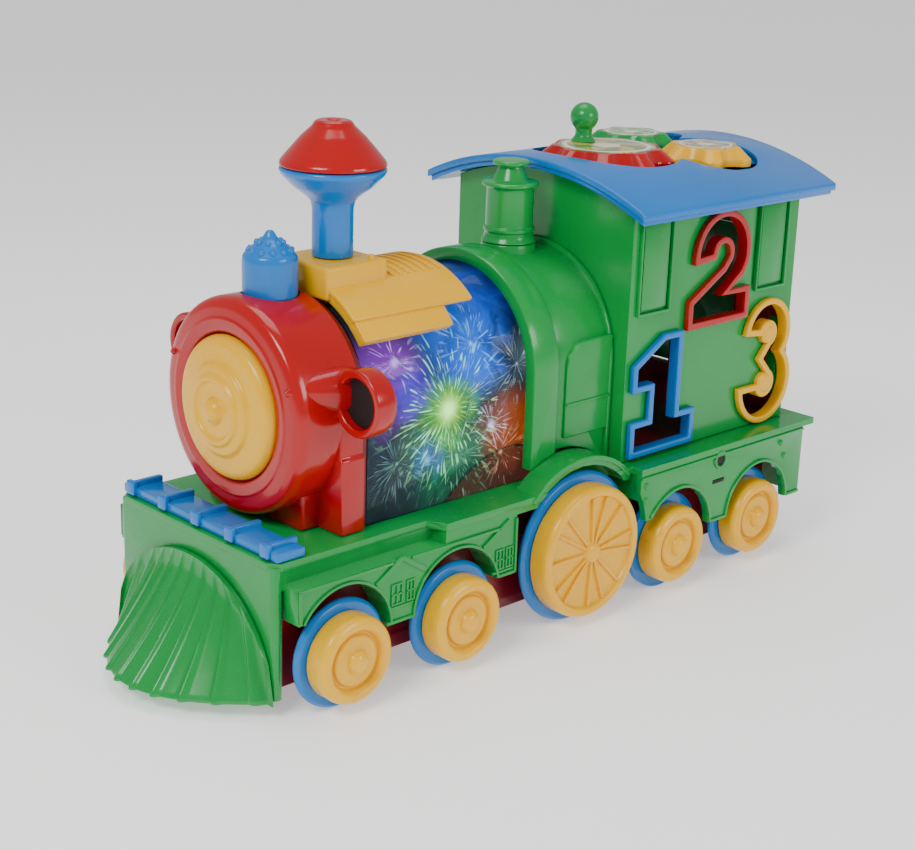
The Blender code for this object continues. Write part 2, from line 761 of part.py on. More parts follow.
# ---------------------------------------------------------------- boiler
def make_smokebox():
    """The red front drum, its pillars down to the deck and the horn tubes beside it."""
    r, lip = SMOKEBOX_RADIUS, SMOKEBOX_LIP
    face = SMOKEBOX_FRONT
    profile = [
        (0, face - DOOR_RECESS), (DOOR_RADIUS + 0.0040, face - DOOR_RECESS), (DOOR_RADIUS + 0.0055, face),
        (r - lip, face), (r - lip * 0.29, face - lip * 0.29), (r, face - lip),
        (r, SMOKEBOX_REAR), (0, SMOKEBOX_REAR),
    ]
    mesh = turned("smokebox", profile, "X", (0, 0, BOILER_Z), 32)
    smokebox = place("smokebox", mesh, "red")
    low = DECK_TOP + GAP
    pillar = box((SMOKEBOX_REAR, -PILLAR_HALF, low), (PILLAR_FRONT, PILLAR_HALF, PILLAR_TOP))
    neck = box((SMOKEBOX_REAR, -PILLAR_HALF + NECK_INSET, PILLAR_TOP - WALL),
               (PILLAR_FRONT - WALL, PILLAR_HALF - NECK_INSET, HORN_Z))
    seat = box((PILLAR_FRONT - WALL, -CHEST_HALF, low),
               (SMOKEBOX_FRONT - 3 * SMOKEBOX_WALL, CHEST_HALF, BOILER_Z))
    join(smokebox, pillar, neck, seat)
    horn = rod((HORN_REAR, HORN_Y, HORN_Z), HORN_FRONT - HORN_REAR, HORN_RADIUS, "X", 20)
    arm = box((HORN_REAR, CHEST_HALF, HORN_Z - HORN_RADIUS * 0.7),
              (HORN_FRONT - 0.0030, HORN_Y, HORN_Z + HORN_RADIUS * 0.5))
    join(smokebox, *both_sides(horn), *both_sides(arm))
    bore = rod((HORN_REAR + 0.0020, HORN_Y, HORN_Z), HORN_FRONT - HORN_REAR, HORN_BORE, "X", 20)
    cut(smokebox, *both_sides(bore))
    hollow = rod((SMOKEBOX_REAR - WALL, 0, BOILER_Z), SMOKEBOX_FRONT - SMOKEBOX_REAR - SMOKEBOX_WALL,
                 SMOKEBOX_RADIUS - SMOKEBOX_WALL, "X", 32)
    button_hole = rod((BUTTON_X, 0, BOILER_Z), BUTTON_FOOT + 0.0100 - BOILER_Z,
                      BUTTON_RADIUS + RUN, "Z", 20)
    cut(smokebox, hollow, button_hole)
    return smokebox


def make_smokebox_door():
    """The yellow front disc with its two raised rings and a boss."""
    base = SMOKEBOX_FRONT - DOOR_RECESS + GAP
    r = DOOR_RADIUS
    profile = [
        (0, DOOR_FRONT + 0.0026), (0.0040, DOOR_FRONT + 0.0018), (0.0055, DOOR_FRONT - 0.0008),
        (r * 0.42, DOOR_FRONT - 0.0008), (r * 0.46, DOOR_FRONT + 0.0006),
        (r * 0.52, DOOR_FRONT - 0.0008), (r * 0.70, DOOR_FRONT - 0.0012),
        (r * 0.76, DOOR_FRONT - 0.0026), (r * 0.94, DOOR_FRONT - 0.0030),
        (r, DOOR_FRONT - 0.0048), (r, base), (0, base),
    ]
    mesh = turned("smokebox_door", profile, "X", (0, 0, BOILER_Z), 24)
    return place("smokebox_door", mesh, "yellow")


def make_dome_button():
    """The blue button on the smokebox, with a knurled cone for a top."""
    r = BUTTON_RADIUS
    shoulder = BUTTON_TOP - BUTTON_CONE
    profile = [
        (0, BUTTON_TOP), (0.0012, BUTTON_TOP - 0.0004), (0.0030, BUTTON_TOP - 0.0026),
        (0.0062, shoulder), (r - 0.0012, shoulder - 0.0008), (r, shoulder - 0.0026),
        (r, BUTTON_FOOT + 0.0010), (0, BUTTON_FOOT + 0.0010),
    ]
    mesh = turned("front_dome", profile, "Z", sides=20)
    return place("front_dome_button", mesh, "blue", (BUTTON_X, 0, 0))


def saddle_section(radius, half_angle, steps):
    return arc((0, BOILER_Z), radius, 90 - half_angle, 90 + half_angle, steps)


def make_saddle():
    """The yellow saddle over the boiler that carries the chimney."""
    low = WINDOW_RADIUS + GAP
    top = saddle_section(SADDLE_RADIUS, SADDLE_ANGLE, 14)
    under = saddle_section(SADDLE_RADIUS - SADDLE_THICK, SADDLE_ANGLE, 14)
    saddle = place("saddle", plate([top + under[::-1]], "YZ", SADDLE_REAR, SADDLE_FRONT), "yellow")
    skirt = saddle_section(SADDLE_RADIUS - 0.0012, APRON_ANGLE, 16)
    inner = saddle_section(low, APRON_ANGLE, 16)
    apron = plate([skirt + inner[::-1]], "YZ", APRON_REAR, SADDLE_FRONT - 0.0010)
    block = box((SADDLE_FLAT_REAR, -SADDLE_FLAT_HALF, BOILER_Z + SADDLE_RADIUS - PLUG_DEPTH),
                (SADDLE_FRONT + 0.0010, SADDLE_FLAT_HALF, SADDLE_FLAT), 0.0015, 2)
    join(saddle, apron, block)
    for i in range(SADDLE_RIBS):
        x = SADDLE_REAR + 0.0030 + SADDLE_RIB_PITCH * i
        ring = saddle_section(SADDLE_RADIUS + SADDLE_RIB_RISE, SADDLE_RIB_ANGLE, 5)
        base = saddle_section(SADDLE_RADIUS - SADDLE_RIB_BURIED, SADDLE_RIB_ANGLE, 5)
        join(saddle, plate([ring + base[::-1]], "YZ", x, x + SADDLE_RIB_WIDTH))
    socket = rod((CHIMNEY_X, 0, SADDLE_FLAT - PLUG_DEPTH - RUN), 2 * PLUG_DEPTH,
                 PLUG_RADIUS + GAP, "Z", 24)
    cut(saddle, socket)
    return saddle


def make_chimney():
    """The blue funnel in the saddle's socket and the red cap that closes it."""
    foot = SADDLE_FLAT - PLUG_DEPTH
    rest = SADDLE_FLAT + GAP
    funnel = [
        (RIM_RADIUS - 0.0026, RIM_Z), (RIM_RADIUS - 0.0008, RIM_Z), (RIM_RADIUS, RIM_Z - 0.0010),
        (RIM_RADIUS * 0.86, RIM_Z - 0.0040), (STACK_RADIUS * 1.25, STACK_NECK + 0.0010),
        (STACK_RADIUS, STACK_NECK - 0.0010), (STACK_RADIUS, rest), (PLUG_RADIUS, rest),
        (PLUG_RADIUS, foot), (0, foot), (0, RIM_Z - 0.0060), (RIM_RADIUS - 0.0060, RIM_Z - 0.0045),
        (RIM_RADIUS - 0.0026, RIM_Z),
    ]
    place("chimney_funnel", turned("funnel", funnel, "Z", sides=24), "blue", (CHIMNEY_X, 0, 0))
    low = RIM_Z + GAP
    cap = [
        (0, CAP_TOP - 0.0012), (0.0020, CAP_TOP - 0.0012), (0.0030, CAP_TOP - 0.0002),
        (CAP_TOP_RADIUS - 0.0012, CAP_TOP), (CAP_TOP_RADIUS, CAP_TOP - 0.0008),
        (CAP_TOP_RADIUS * 1.7, CAP_TOP - 0.0060), (RIM_RADIUS * 0.88, low + 0.0046),
        (RIM_RADIUS * 0.99, low + 0.0016), (RIM_RADIUS * 0.97, low),
        (RIM_RADIUS - 0.0038, low), (RIM_RADIUS - 0.0062, low - 0.0030), (0, low - 0.0030),
    ]
    place("chimney_cap", turned("cap", cap, "Z", sides=24), "red", (CHIMNEY_X, 0, 0))


def make_boiler():
    """The clear hood, the light screen inside it and the turning light drum."""
    outer = WINDOW_RADIUS
    inner = outer - WINDOW_WALL
    window = hood_shell(outer, inner, WINDOW_FOOT, WINDOW_REAR, WINDOW_FRONT, 24)
    place("boiler_window", window, "clear")
    screen_outer = inner - GAP
    screen = hood_shell(screen_outer, screen_outer - SCREEN_WALL, WINDOW_FOOT,
                        WINDOW_REAR, WINDOW_FRONT, 24)
    place("light_screen", screen, "screen")

    drum = [
        (0.0020, 0.0905), (0.0020, 0.0860), (0.0090, 0.0840), (0.0200, 0.0720),
        (0.0260, 0.0560), (0.0200, 0.0400), (0.0090, 0.0280), (0.0020, 0.0260), (0.0020, 0.0215),
        (0, 0.0215),
    ]
    drum = [(0, 0.0905)] + drum
    mesh = turned("light_drum", drum, "X", sides=12)
    place("light_drum", mesh, "clear", (0, 0, BOILER_Z))
    frame = [
        (-0.0300, DECK_TOP + GAP), (0.0300, DECK_TOP + GAP),
        (0.0110, BOILER_Z + 0.0060), (-0.0110, BOILER_Z + 0.0060),
    ]
    cradle = place("light_cradle", box((0.0180, -0.0300, DECK_TOP + GAP),
                                       (0.0940, 0.0300, DECK_TOP + 0.0040)), "black")
    for x in (0.0215, 0.0865):
        join(cradle, plate([frame], "YZ", x, x + 0.0030))
    for x in (0.0215, 0.0865):
        cut(cradle, rod((x - WALL, 0, BOILER_Z), 0.0030 + 2 * WALL, 0.0020 + RUN, "X", 16))


def make_boiler_rear():
    """The green boiler behind the window, its front band and the raised side doors."""
    inner = WINDOW_RADIUS + GAP
    low = DECK_TOP + GAP
    back = CAB_FRONT + GAP
    rear = place("boiler_rear", hood_shell(REAR_RADIUS, inner, low, back, BAND_REAR + 0.0020, 24),
                 "green")
    band = hood_shell(BAND_RADIUS, inner, low, BAND_REAR, BAND_FRONT, 24)
    join(rear, band)
    # The wheel fenders rise through the deck, so the boiler's sides are cut over them.
    door_top = arc((-0.0100, 0.1100), 0.0100, 90, 0, 6)
    door = [(-0.0270, 0.1200)] + door_top + [(0.0, 0.0800), (-0.0270, 0.0800)]
    side_door = plate([door], "XZ", inner + 0.0005, REAR_RADIUS + 0.0013)
    join(rear, *both_sides(side_door))
    clear = rod((AXLE_X[BIG_AXLE], TRAY_HALF - 0.0080, axle_height(BIG_AXLE)),
                0.0300, FENDER_OUTER + GAP, "Y", 32)
    cut(rear, *both_sides(clear))
    stub = rod((DOME_X, 0, BOILER_Z + inner + 0.0004),
               REAR_RADIUS - inner + 0.0016, DOME_RADIUS + 0.0014, "Z", 20)
    join(rear, stub)
    return rear


def make_steam_dome():
    """The green steam dome with its rim and cap."""
    low = BOILER_Z + REAR_RADIUS + 0.0020 + GAP
    r = DOME_RADIUS
    profile = [
        (0, DOME_TOP), (DOME_TOP_RADIUS - 0.0008, DOME_TOP), (DOME_TOP_RADIUS, DOME_TOP - 0.0010),
        (DOME_TOP_RADIUS, DOME_TOP - 0.0022), (DOME_TOP_RADIUS - 0.0012, DOME_TOP - 0.0030),
        (DOME_TOP_RADIUS, DOME_RIM_Z + 0.0018), (DOME_RIM - 0.0004, DOME_RIM_Z + 0.0006),
        (DOME_RIM, DOME_RIM_Z - 0.0006), (DOME_RIM - 0.0006, DOME_RIM_Z - 0.0018),
        (r, DOME_RIM_Z - 0.0020), (r, low), (0, low),
    ]
    return place("steam_dome", turned("dome", profile, "Z", sides=20), "green", (DOME_X, 0, 0))


# ---------------------------------------------------------------- cab
def roof_level(y, drop=0.0):
    """The height of the roof's top surface at a distance from the middle, or below it."""
    radius = ROOF_RADIUS - drop
    centre = ROOF_EDGE + ROOF_SAGITTA - ROOF_RADIUS
    return centre + math.sqrt(radius ** 2 - y ** 2)


def under_roof(drop, half, foot, steps=16):
    """A section in the YZ plane that follows the roof's curve on straight sides."""
    points = [(half - 2 * half * i / steps) for i in range(steps + 1)]
    return [(half, foot)] + [(y, roof_level(y, drop)) for y in points] + [(-half, foot)]


def digit_one():
    """The 1: a slab foot, a stem and a flag, in (towards the rear, up)."""
    return [
        (0.0340, 0.0660), (0.0735, 0.0660), (0.0735, 0.0790), (0.0625, 0.0790),
        (0.0625, 0.1160), (0.0520, 0.1160), (0.0340, 0.1050), (0.0340, 0.0955),
        (0.0455, 0.0955), (0.0455, 0.0790), (0.0340, 0.0790),
    ]


def digit_two():
    """The 2: a round bowl on a slanting neck and a flat foot."""
    centre = (0.0878, 0.1485)
    outer = arc(centre, 0.0175, 185, -38, 10)
    inner = arc(centre, 0.0062, -40, 185, 6)
    return [
        (0.0680, 0.1182), (0.1068, 0.1182), (0.1068, 0.1300), (0.0905, 0.1300),
    ] + outer[::-1][:-1] + [outer[0]] + inner[::-1][:-1] + [(0.0895, 0.1410), (0.0680, 0.1285)]


def digit_three():
    """The 3: two open bowls that meet in a waist, with round ends."""
    upper, lower = (0.1255, 0.1060), (0.1255, 0.0825)
    top_radius, low_radius = 0.0150, 0.0175
    apart = upper[1] - lower[1]
    drop = (apart ** 2 + top_radius ** 2 - low_radius ** 2) / (2 * apart)
    top_end = -math.degrees(math.asin(drop / top_radius))
    low_start = math.degrees(math.asin((apart - drop) / low_radius))
    outer_top = arc(upper, top_radius, 170, top_end, 9)
    outer_low = arc(lower, low_radius, low_start, -175, 10)[1:]
    inner_low = arc(lower, 0.0056, -165, 60, 7)
    inner_top = arc(upper, 0.0052, -70, 165, 6)
    return outer_top + outer_low + inner_low + [(0.1215, 0.0945)] + inner_top


DIGITS = (("1", digit_one, "blue"), ("2", digit_two, "red"), ("3", digit_three, "yellow"))


def digit_outline(shape):
    return [(-back, up) for back, up in shape()]


def make_cab():
    """The cab's four walls, with digit-shaped posting holes through both sides."""
    foot = DECK_TOP + GAP
    drop = ROOF_THICK + FASCIA_DROP + GAP
    outline = under_roof(drop, CAB_HALF, foot)
    cab = place("cab", plate([outline], "YZ", CAB_REAR, CAB_FRONT), "green")
    room = box((CAB_REAR + WALL, -CAB_HALF + WALL, foot - WALL),
               (CAB_FRONT - WALL, CAB_HALF - WALL, ROOF_EDGE + ROOF_SAGITTA))
    cut(cab, room)
    for _, shape, _ in DIGITS:
        hole = plate([offset_outline(digit_outline(shape), GAP)], "XZ",
                     CAB_HALF - 2 * WALL, CAB_HALF + WALL)
        cut(cab, *turned_round(hole))
    for front, rear in CAB_PANELS:
        recess = box((rear, CAB_HALF - PANEL_RECESS, CAB_PANEL_FOOT),
                     (front, CAB_HALF + WALL, ROOF_EDGE), CAB_PANEL_EDGE, 1)
        cut(cab, *both_sides(recess))
    doorway = box((CAB_REAR - WALL, -REAR_DOOR_HALF, REAR_DOOR_FOOT),
                  (CAB_REAR + 2 * WALL, REAR_DOOR_HALF, REAR_DOOR_TOP))
    well_low = WELL_FLOOR - WELL_WALL - GAP
    cut(cab, doorway, plate([well_outline(WELL_GAP + WELL_WALL + GAP)], "XY",
                            well_low, ROOF_EDGE + ROOF_SAGITTA + WALL))
    return cab


def make_digit_frames():
    """A coloured frame pressed into each digit-shaped hole, standing proud of the wall."""
    for digit, shape, finish in DIGITS:
        hole = digit_outline(shape)
        lining = offset_outline(hole, -BIN_MARGIN)
        rim = offset_outline(hole, NUMBER_BAND - BIN_MARGIN)
        frame = plate([rim, lining], "XZ", CAB_HALF + GAP, CAB_HALF + NUMBER_RISE)
        sleeve = plate([hole, lining], "XZ", CAB_HALF - WALL, CAB_HALF + 2 * GAP)
        for (side, _), face, tube in zip(SIDES, turned_round(frame), turned_round(sleeve)):
            piece = place(f"number_{digit}_{side}", face, finish)
            join(piece, tube)


def make_bin():
    """The dark red bin that catches what is posted through the digits."""
    low = DECK_TOP + GAP
    inset = WALL + 0.0010
    half = CAB_HALF - inset
    bin_piece = place("shape_bin", box((CAB_REAR + inset, -half, low),
                                       (CAB_FRONT - inset, half, BIN_TOP)), "dark_red")
    cut(bin_piece, box((CAB_REAR + inset + BIN_WALL, -half + BIN_WALL, low + BIN_WALL),
                       (CAB_FRONT - inset - BIN_WALL, half - BIN_WALL, BIN_TOP + WALL)))
    for _, shape, _ in DIGITS:
        opening = plate([offset_outline(digit_outline(shape), BIN_MARGIN)], "XZ",
                        half - 3 * BIN_WALL, CAB_HALF)
        cut(bin_piece, *turned_round(opening))
    doorway = box((CAB_REAR, -REAR_DOOR_HALF, REAR_DOOR_FOOT),
                  (CAB_REAR + inset + 2 * BIN_WALL, REAR_DOOR_HALF, REAR_DOOR_TOP))
    cut(bin_piece, doorway)
    return bin_piece


def make_rear_door():
    """The door in the cab's rear wall, hung on a vertical pin at its left edge."""
    pin_y = REAR_DOOR_HALF - HINGE_RADIUS - RUN
    pin_x = CAB_REAR - HINGE_RADIUS * 0.2
    foot, top = REAR_DOOR_FOOT + RUN, REAR_DOOR_TOP - RUN
    leaf_half = REAR_DOOR_HALF - RUN
    door = place("rear_door", box(
        (-HINGE_RADIUS * 0.6, -leaf_half - pin_y, foot),
        (HINGE_RADIUS * 0.6, 0, top)), "green", (pin_x, pin_y, 0))
    barrel = rod((0, 0, foot), top - foot, HINGE_RADIUS, "Z", 20)
    pull = rod((-PULL_LENGTH, -leaf_half - pin_y + PULL_INSET, (foot + top) / 2), PULL_LENGTH,
               PULL_RADIUS, "X", 20)
    join(door, barrel, pull)
    return door


# ---------------------------------------------------------------- roof and its gears
def gear_centres():
    """Each roof gear's colour, centre, lobes and label radius."""
    angle = math.radians(SMALL_GEAR_ANGLE)
    behind = RED_X + GEAR_SPAN * math.cos(angle)
    aside = GEAR_SPAN * math.sin(angle)
    return (
        ("red", (RED_X, 0), RED_LOBES, RED_LABEL),
        ("yellow", (behind, aside), SMALL_LOBES, SMALL_LABEL),
        ("green", (behind, -aside), SMALL_LOBES, SMALL_LABEL),
    )


def gear_outer(lobes):
    return LOBE_PITCH * lobes + LOBE_DEPTH


def well_outline(margin):
    """The outline round all three gears' circles, each widened by a margin."""
    centre = Vector((RED_X * 0.72 + gear_centres()[1][1][0] * 0.28 - 0.0075, 0))
    outline = []
    for i in range(WELL_POINTS):
        angle = 2 * math.pi * i / WELL_POINTS
        way = Vector((math.cos(angle), math.sin(angle)))
        reach = 0.0
        for _, middle, lobes, _ in gear_centres():
            away = Vector(middle) - centre
            along = away.dot(way)
            aside = away.length_squared - along ** 2
            room = (gear_outer(lobes) + margin) ** 2 - aside
            if room > 0:
                reach = max(reach, along + math.sqrt(room))
        outline.append(tuple(centre + way * reach))
    return outline


def make_roof():
    """The arched blue roof with a three-lobed well for the gears and a peg for each."""
    outline = under_roof(0, ROOF_HALF, ROOF_EDGE - ROOF_THICK)
    lining = under_roof(ROOF_THICK, ROOF_HALF, ROOF_EDGE - ROOF_THICK)[1:-1]
    shell = outline[:1] + outline[1:] + lining[::-1]
    roof = place("roof", plate([shell], "YZ", ROOF_REAR, ROOF_FRONT), "blue")
    inset_half = ROOF_HALF - FASCIA_INSET
    upper = under_roof(ROOF_THICK * 0.5, inset_half, 0)[1:-1]
    lower = under_roof(ROOF_THICK + FASCIA_DROP, inset_half, 0)[1:-1]
    fascia = plate([upper + lower[::-1]], "YZ", ROOF_REAR + FASCIA_INSET, ROOF_FRONT - FASCIA_INSET)
    join(roof, fascia)
    below = under_roof(ROOF_THICK * 0.5, ROOF_HALF - 0.0040, WELL_FLOOR - 0.0100)
    tub = plate([well_outline(WELL_GAP + WELL_WALL)], "XY", WELL_FLOOR - WELL_WALL, WELL_FLOOR + 0.0200)
    join(roof, intersection(tub, plate([below], "YZ", ROOF_REAR, ROOF_FRONT)))
    cut(roof, plate([well_outline(WELL_GAP)], "XY", WELL_FLOOR, WELL_FLOOR + 0.0200))
    for _, (x, y), _, _ in gear_centres():
        peg_foot = WELL_FLOOR - WELL_WALL * 0.5
        join(roof, rod((x, y, peg_foot), GEAR_TOP - 0.0022 - peg_foot, PEG_RADIUS, "Z", 20))
    return roof


def intersection(first, second):
    """The common solid of two meshes."""
    source = bpy.data.objects.new("first", first)
    other = bpy.data.objects.new("second", second)
    for each in (source, other):
        bpy.context.scene.collection.objects.link(each)
    modifier = source.modifiers.new("common", "BOOLEAN")
    modifier.operation = "INTERSECT"
    modifier.solver = "EXACT"
    modifier.object = other
    made = evaluated_mesh(source, "common")
    bpy.data.objects.remove(other, do_unlink=True)
    return made


def lobe_radius(lobes, turn, angle):
    wave = math.cos(lobes * (angle - turn))
    return LOBE_PITCH * lobes - LOBE_CLEARANCE + LOBE_DEPTH * wave


def gear_mesh(lobes, turn, label):
    """A chunky lobed gear whose lobes slope up to its round label, bored for its peg."""
    steps = lobes * 6
    bottom, shoulder, top = WELL_FLOOR + GAP * 2, WELL_FLOOR + 0.0034, GEAR_TOP
    bm = bmesh.new()
    rings = []
    for height, blend in ((bottom, 0.0), (shoulder, 0.0), (top - 0.0012, 0.78), (top, 1.0)):
        ring = []
        for i in range(steps):
            angle = 2 * math.pi * i / steps
            reach = lobe_radius(lobes, turn, angle)
            reach += (label + 0.0008 - reach) * blend
            ring.append(bm.verts.new((reach * math.cos(angle), reach * math.sin(angle), height)))
        rings.append(ring)
    for lower, upper in zip(rings, rings[1:]):
        for i in range(steps):
            j = (i + 1) % steps
            bm.faces.new((lower[i], lower[j], upper[j], upper[i]))
    bm.faces.new(rings[0])
    bm.faces.new(rings[-1])
    return from_bmesh("gear", bm)


def make_gears():
    """Three roof gears in mesh: the red one drives a yellow and a green one."""
    for name, (x, y), lobes, label in gear_centres():
        turn = 0.0
        if name != "red":
            towards = math.atan2(y, x - RED_X)
            # A red lobe's gap faces the small gear's lobe along the line of centres.
            phase = RED_LOBES * towards
            turn = towards + math.pi + (math.pi + phase) / SMALL_LOBES
        gear = place(f"gear_{name}", gear_mesh(lobes, turn, label), name, (x, y, 0))
        bore = rod((0, 0, WELL_FLOOR - WALL), GEAR_TOP - 0.0014 - WELL_FLOOR + WALL,
                   PEG_RADIUS + RUN, "Z", 20)
        cut(gear, bore)
        if name == "red":
            stem = Vector((-0.003, -1, 0)).normalized() * KNOB_ARM
            cut(gear, rod((stem.x, stem.y, GEAR_TOP - 0.0030), 0.0060, 0.0026 + GAP, "Z", 16))
            make_knob(x, stem)


def make_knob(gear_x, stem):
    """The green crank knob plugged into the red gear."""
    foot, rest = GEAR_TOP - 0.0026, GEAR_TOP + GAP
    waist = 0.0040
    join_angle = 50
    ball = [
        (KNOB_RADIUS * math.sin(math.radians(a)), KNOB_Z + KNOB_RADIUS * math.cos(math.radians(a)))
        for a in range(0, 181 - join_angle, 13)
    ]
    profile = ball + [(waist, KNOB_Z - 0.0066), (waist, rest + 0.0014), (0.0056, rest + 0.0006),
                      (0.0056, rest), (0.0026, rest), (0.0026, foot), (0, foot)]
    mesh = turned("knob", profile, "Z", sides=14)
    place("crank_knob", mesh, "green", (gear_x + stem.x, stem.y, 0))


# ---------------------------------------------------------------- inside
def make_tray():
    """The dark red undertray that carries the axles, batteries, motor and speaker."""
    top = DECK_TOP - DECK_THICK - GAP
    tray = place("undertray", box((TRAY_REAR, -TRAY_HALF, TRAY_FOOT),
                                  (TRAY_FRONT, TRAY_HALF, top)), "dark_red")
    cut(tray, box((TRAY_REAR + TRAY_WALL, -TRAY_HALF + TRAY_WALL, TRAY_FOOT + TRAY_WALL),
                  (TRAY_FRONT - TRAY_WALL, TRAY_HALF - TRAY_WALL, top + WALL)))
    for index, x in enumerate(AXLE_X):
        cut(tray, rod((x, -TRAY_HALF - WALL, axle_height(index)), 2 * (TRAY_HALF + WALL),
                      SLEEVE_RADIUS + RUN, "Y", 16))
    door_low = (BATTERY_X - BATTERY_DOOR_LENGTH / 2, -BATTERY_DOOR_HALF, TRAY_FOOT - WALL)
    door_high = (BATTERY_X + BATTERY_DOOR_LENGTH / 2, BATTERY_DOOR_HALF, TRAY_FOOT + 2 * WALL)
    cut(tray, box(door_low, door_high))
    slot_rear = SWITCH_X - SWITCH_HALF_LENGTH - 5 * GAP
    slot_front = SWITCH_X + SWITCH_HALF_LENGTH + SWITCH_TRAVEL + 2 * GAP
    switch = box((slot_rear, -SWITCH_SLOT_HALF, TRAY_FOOT - WALL),
                 (slot_front, SWITCH_SLOT_HALF, TRAY_FOOT + 2 * WALL))
    cut(tray, switch)
    return tray


def make_battery_box():
    """The battery door in the tray's floor, its screw, and three cells above it."""
    low = TRAY_FOOT
    high = TRAY_FOOT + TRAY_WALL
    half_length = BATTERY_DOOR_LENGTH / 2 - GAP
    half_width = BATTERY_DOOR_HALF - GAP
    door = place("battery_door", box((BATTERY_X - half_length, -half_width, low),
                                     (BATTERY_X + half_length, half_width, high)), "dark_red")
    cut(door, rod((BATTERY_X, SCREW_Y, low - WALL), 3 * WALL, SCREW_HOLE, "Z", 16))
    shank = SCREW_HOLE - GAP
    head = [(0, 0.0012), (2 * shank, 0.0012), (2 * shank, 0), (shank, 0), (shank, -0.0042),
            (0, -0.0042)]
    screw = turned("screw", [(r, -z) for r, z in reversed(head)], "Z", sides=16)
    place("battery_door_screw", screw, "steel", (BATTERY_X, SCREW_Y, low - GAP))
    pitch = 2 * BATTERY_RADIUS + BATTERY_GAP
    rest = high + 0.0008 + BATTERY_RADIUS
    for i in range(3):
        cell = rod((BATTERY_X - BATTERY_LENGTH / 2, (i - 1) * pitch + BATTERY_SHIFT, rest),
                   BATTERY_LENGTH, BATTERY_RADIUS, "X", 20)
        place(f"battery_{i + 1}", cell, "battery")


def toothed_outline(teeth):
    """A small spur gear's outline with wave-shaped teeth."""
    steps = teeth * 4
    outline = []
    for i in range(steps):
        angle = 2 * math.pi * i / steps
        wave = math.cos(teeth * angle)
        reach = TOOTH_PITCH * teeth - TOOTH_CLEARANCE + TOOTH_DEPTH * wave
        outline.append((reach * math.cos(angle), reach * math.sin(angle)))
    return outline


def make_drive():
    """The motor and its pinion, in mesh with the gear on the driven sleeve."""
    x, z = AXLE_X[DRIVEN_AXLE], axle_height(DRIVEN_AXLE)
    span = TOOTH_PITCH * (PINION_TEETH + AXLE_GEAR_TEETH)
    sleeve = bpy.data.objects[f"flanged_sleeve_{DRIVEN_AXLE + 1}"]
    join(sleeve, plate([toothed_outline(AXLE_GEAR_TEETH),
                        arc((0, 0), SLEEVE_RADIUS - 0.0006, 0, 345, 23)],
                       "XZ", DRIVE_LOW, DRIVE_LOW + DRIVE_WIDTH))
    pinion = plate([toothed_outline(PINION_TEETH)], "XZ", DRIVE_LOW, DRIVE_LOW + DRIVE_WIDTH)
    pinion.transform(Matrix.Rotation(math.pi * PINION_TURN / PINION_TEETH, 4, "Y"))
    place("motor_pinion", pinion, "steel", (x, 0, z + span))
    motor = rod((0, DRIVE_LOW - 2 * GAP - MOTOR_LENGTH, 0), MOTOR_LENGTH, MOTOR_RADIUS, "Y", 24)
    place("motor", motor, "steel", (x, 0, z + span))


def make_electronics():
    """The circuit board, the loudspeaker and the power switch's slider."""
    board = box((-BOARD_LENGTH / 2, -BOARD_HALF, BOARD_FOOT),
                (BOARD_LENGTH / 2, BOARD_HALF, BOARD_FOOT + BOARD_THICK))
    place("circuit_board", board, "circuit")
    cone = [
        (0.0, 0.0060), (0.0060, 0.0060), (SPEAKER_RADIUS - 0.0020, 0.0100),
        (SPEAKER_RADIUS, 0.0100), (SPEAKER_RADIUS, 0.0080), (0.0110, 0.0030),
        (0.0110, 0.0), (0, 0.0),
    ]
    speaker = turned("speaker", cone, "Z", sides=24)
    place("speaker", speaker, "black", (SPEAKER_X, 0, TRAY_FOOT + TRAY_WALL + GAP))
    slider = box((-SWITCH_HALF_LENGTH, -WALL, -0.0012), (SWITCH_HALF_LENGTH, WALL, 0.0040))
    place("power_switch", slider, "black", (SWITCH_X, 0, TRAY_FOOT))


make_chassis()
make_cowcatcher()
make_buffer_step()
for axle in range(len(AXLE_X)):
    make_wheelset(axle)
make_smokebox()
make_smokebox_door()
make_dome_button()
make_saddle()
make_chimney()
make_boiler()
make_boiler_rear()
make_steam_dome()
make_cab()
make_digit_frames()
make_bin()
make_rear_door()
make_roof()
make_gears()
make_tray()
make_battery_box()
make_drive()
make_electronics()
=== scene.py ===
"""Finished look of the toy train engine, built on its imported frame.

Sizes are in metres. The drawing measures x from the big wheels' axle, as a maker's side
view would, and DATUM carries each finished mesh to the frame's own origin.
"""

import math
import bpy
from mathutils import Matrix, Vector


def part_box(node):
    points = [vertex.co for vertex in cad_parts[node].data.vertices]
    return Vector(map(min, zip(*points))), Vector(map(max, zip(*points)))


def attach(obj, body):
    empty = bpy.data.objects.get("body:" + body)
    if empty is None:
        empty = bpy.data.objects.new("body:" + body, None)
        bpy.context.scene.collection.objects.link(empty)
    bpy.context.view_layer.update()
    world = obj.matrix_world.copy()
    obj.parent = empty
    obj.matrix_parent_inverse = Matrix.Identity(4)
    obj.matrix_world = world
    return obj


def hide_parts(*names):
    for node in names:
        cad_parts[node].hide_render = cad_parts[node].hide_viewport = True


bl_info = {
    "name": "Toy Train Engine",
    "version": (1, 0, 0),
    "blender": (4, 5, 0),
    "location": "3D View > Sidebar > Toy Train",
    "description": "Builds the finished pieces, plastics and stage of a toy train engine",
    "category": "Object",
}

import bmesh
import bpy
from bpy.props import FloatProperty, FloatVectorProperty, IntProperty, PointerProperty
from mathutils import Matrix, Vector

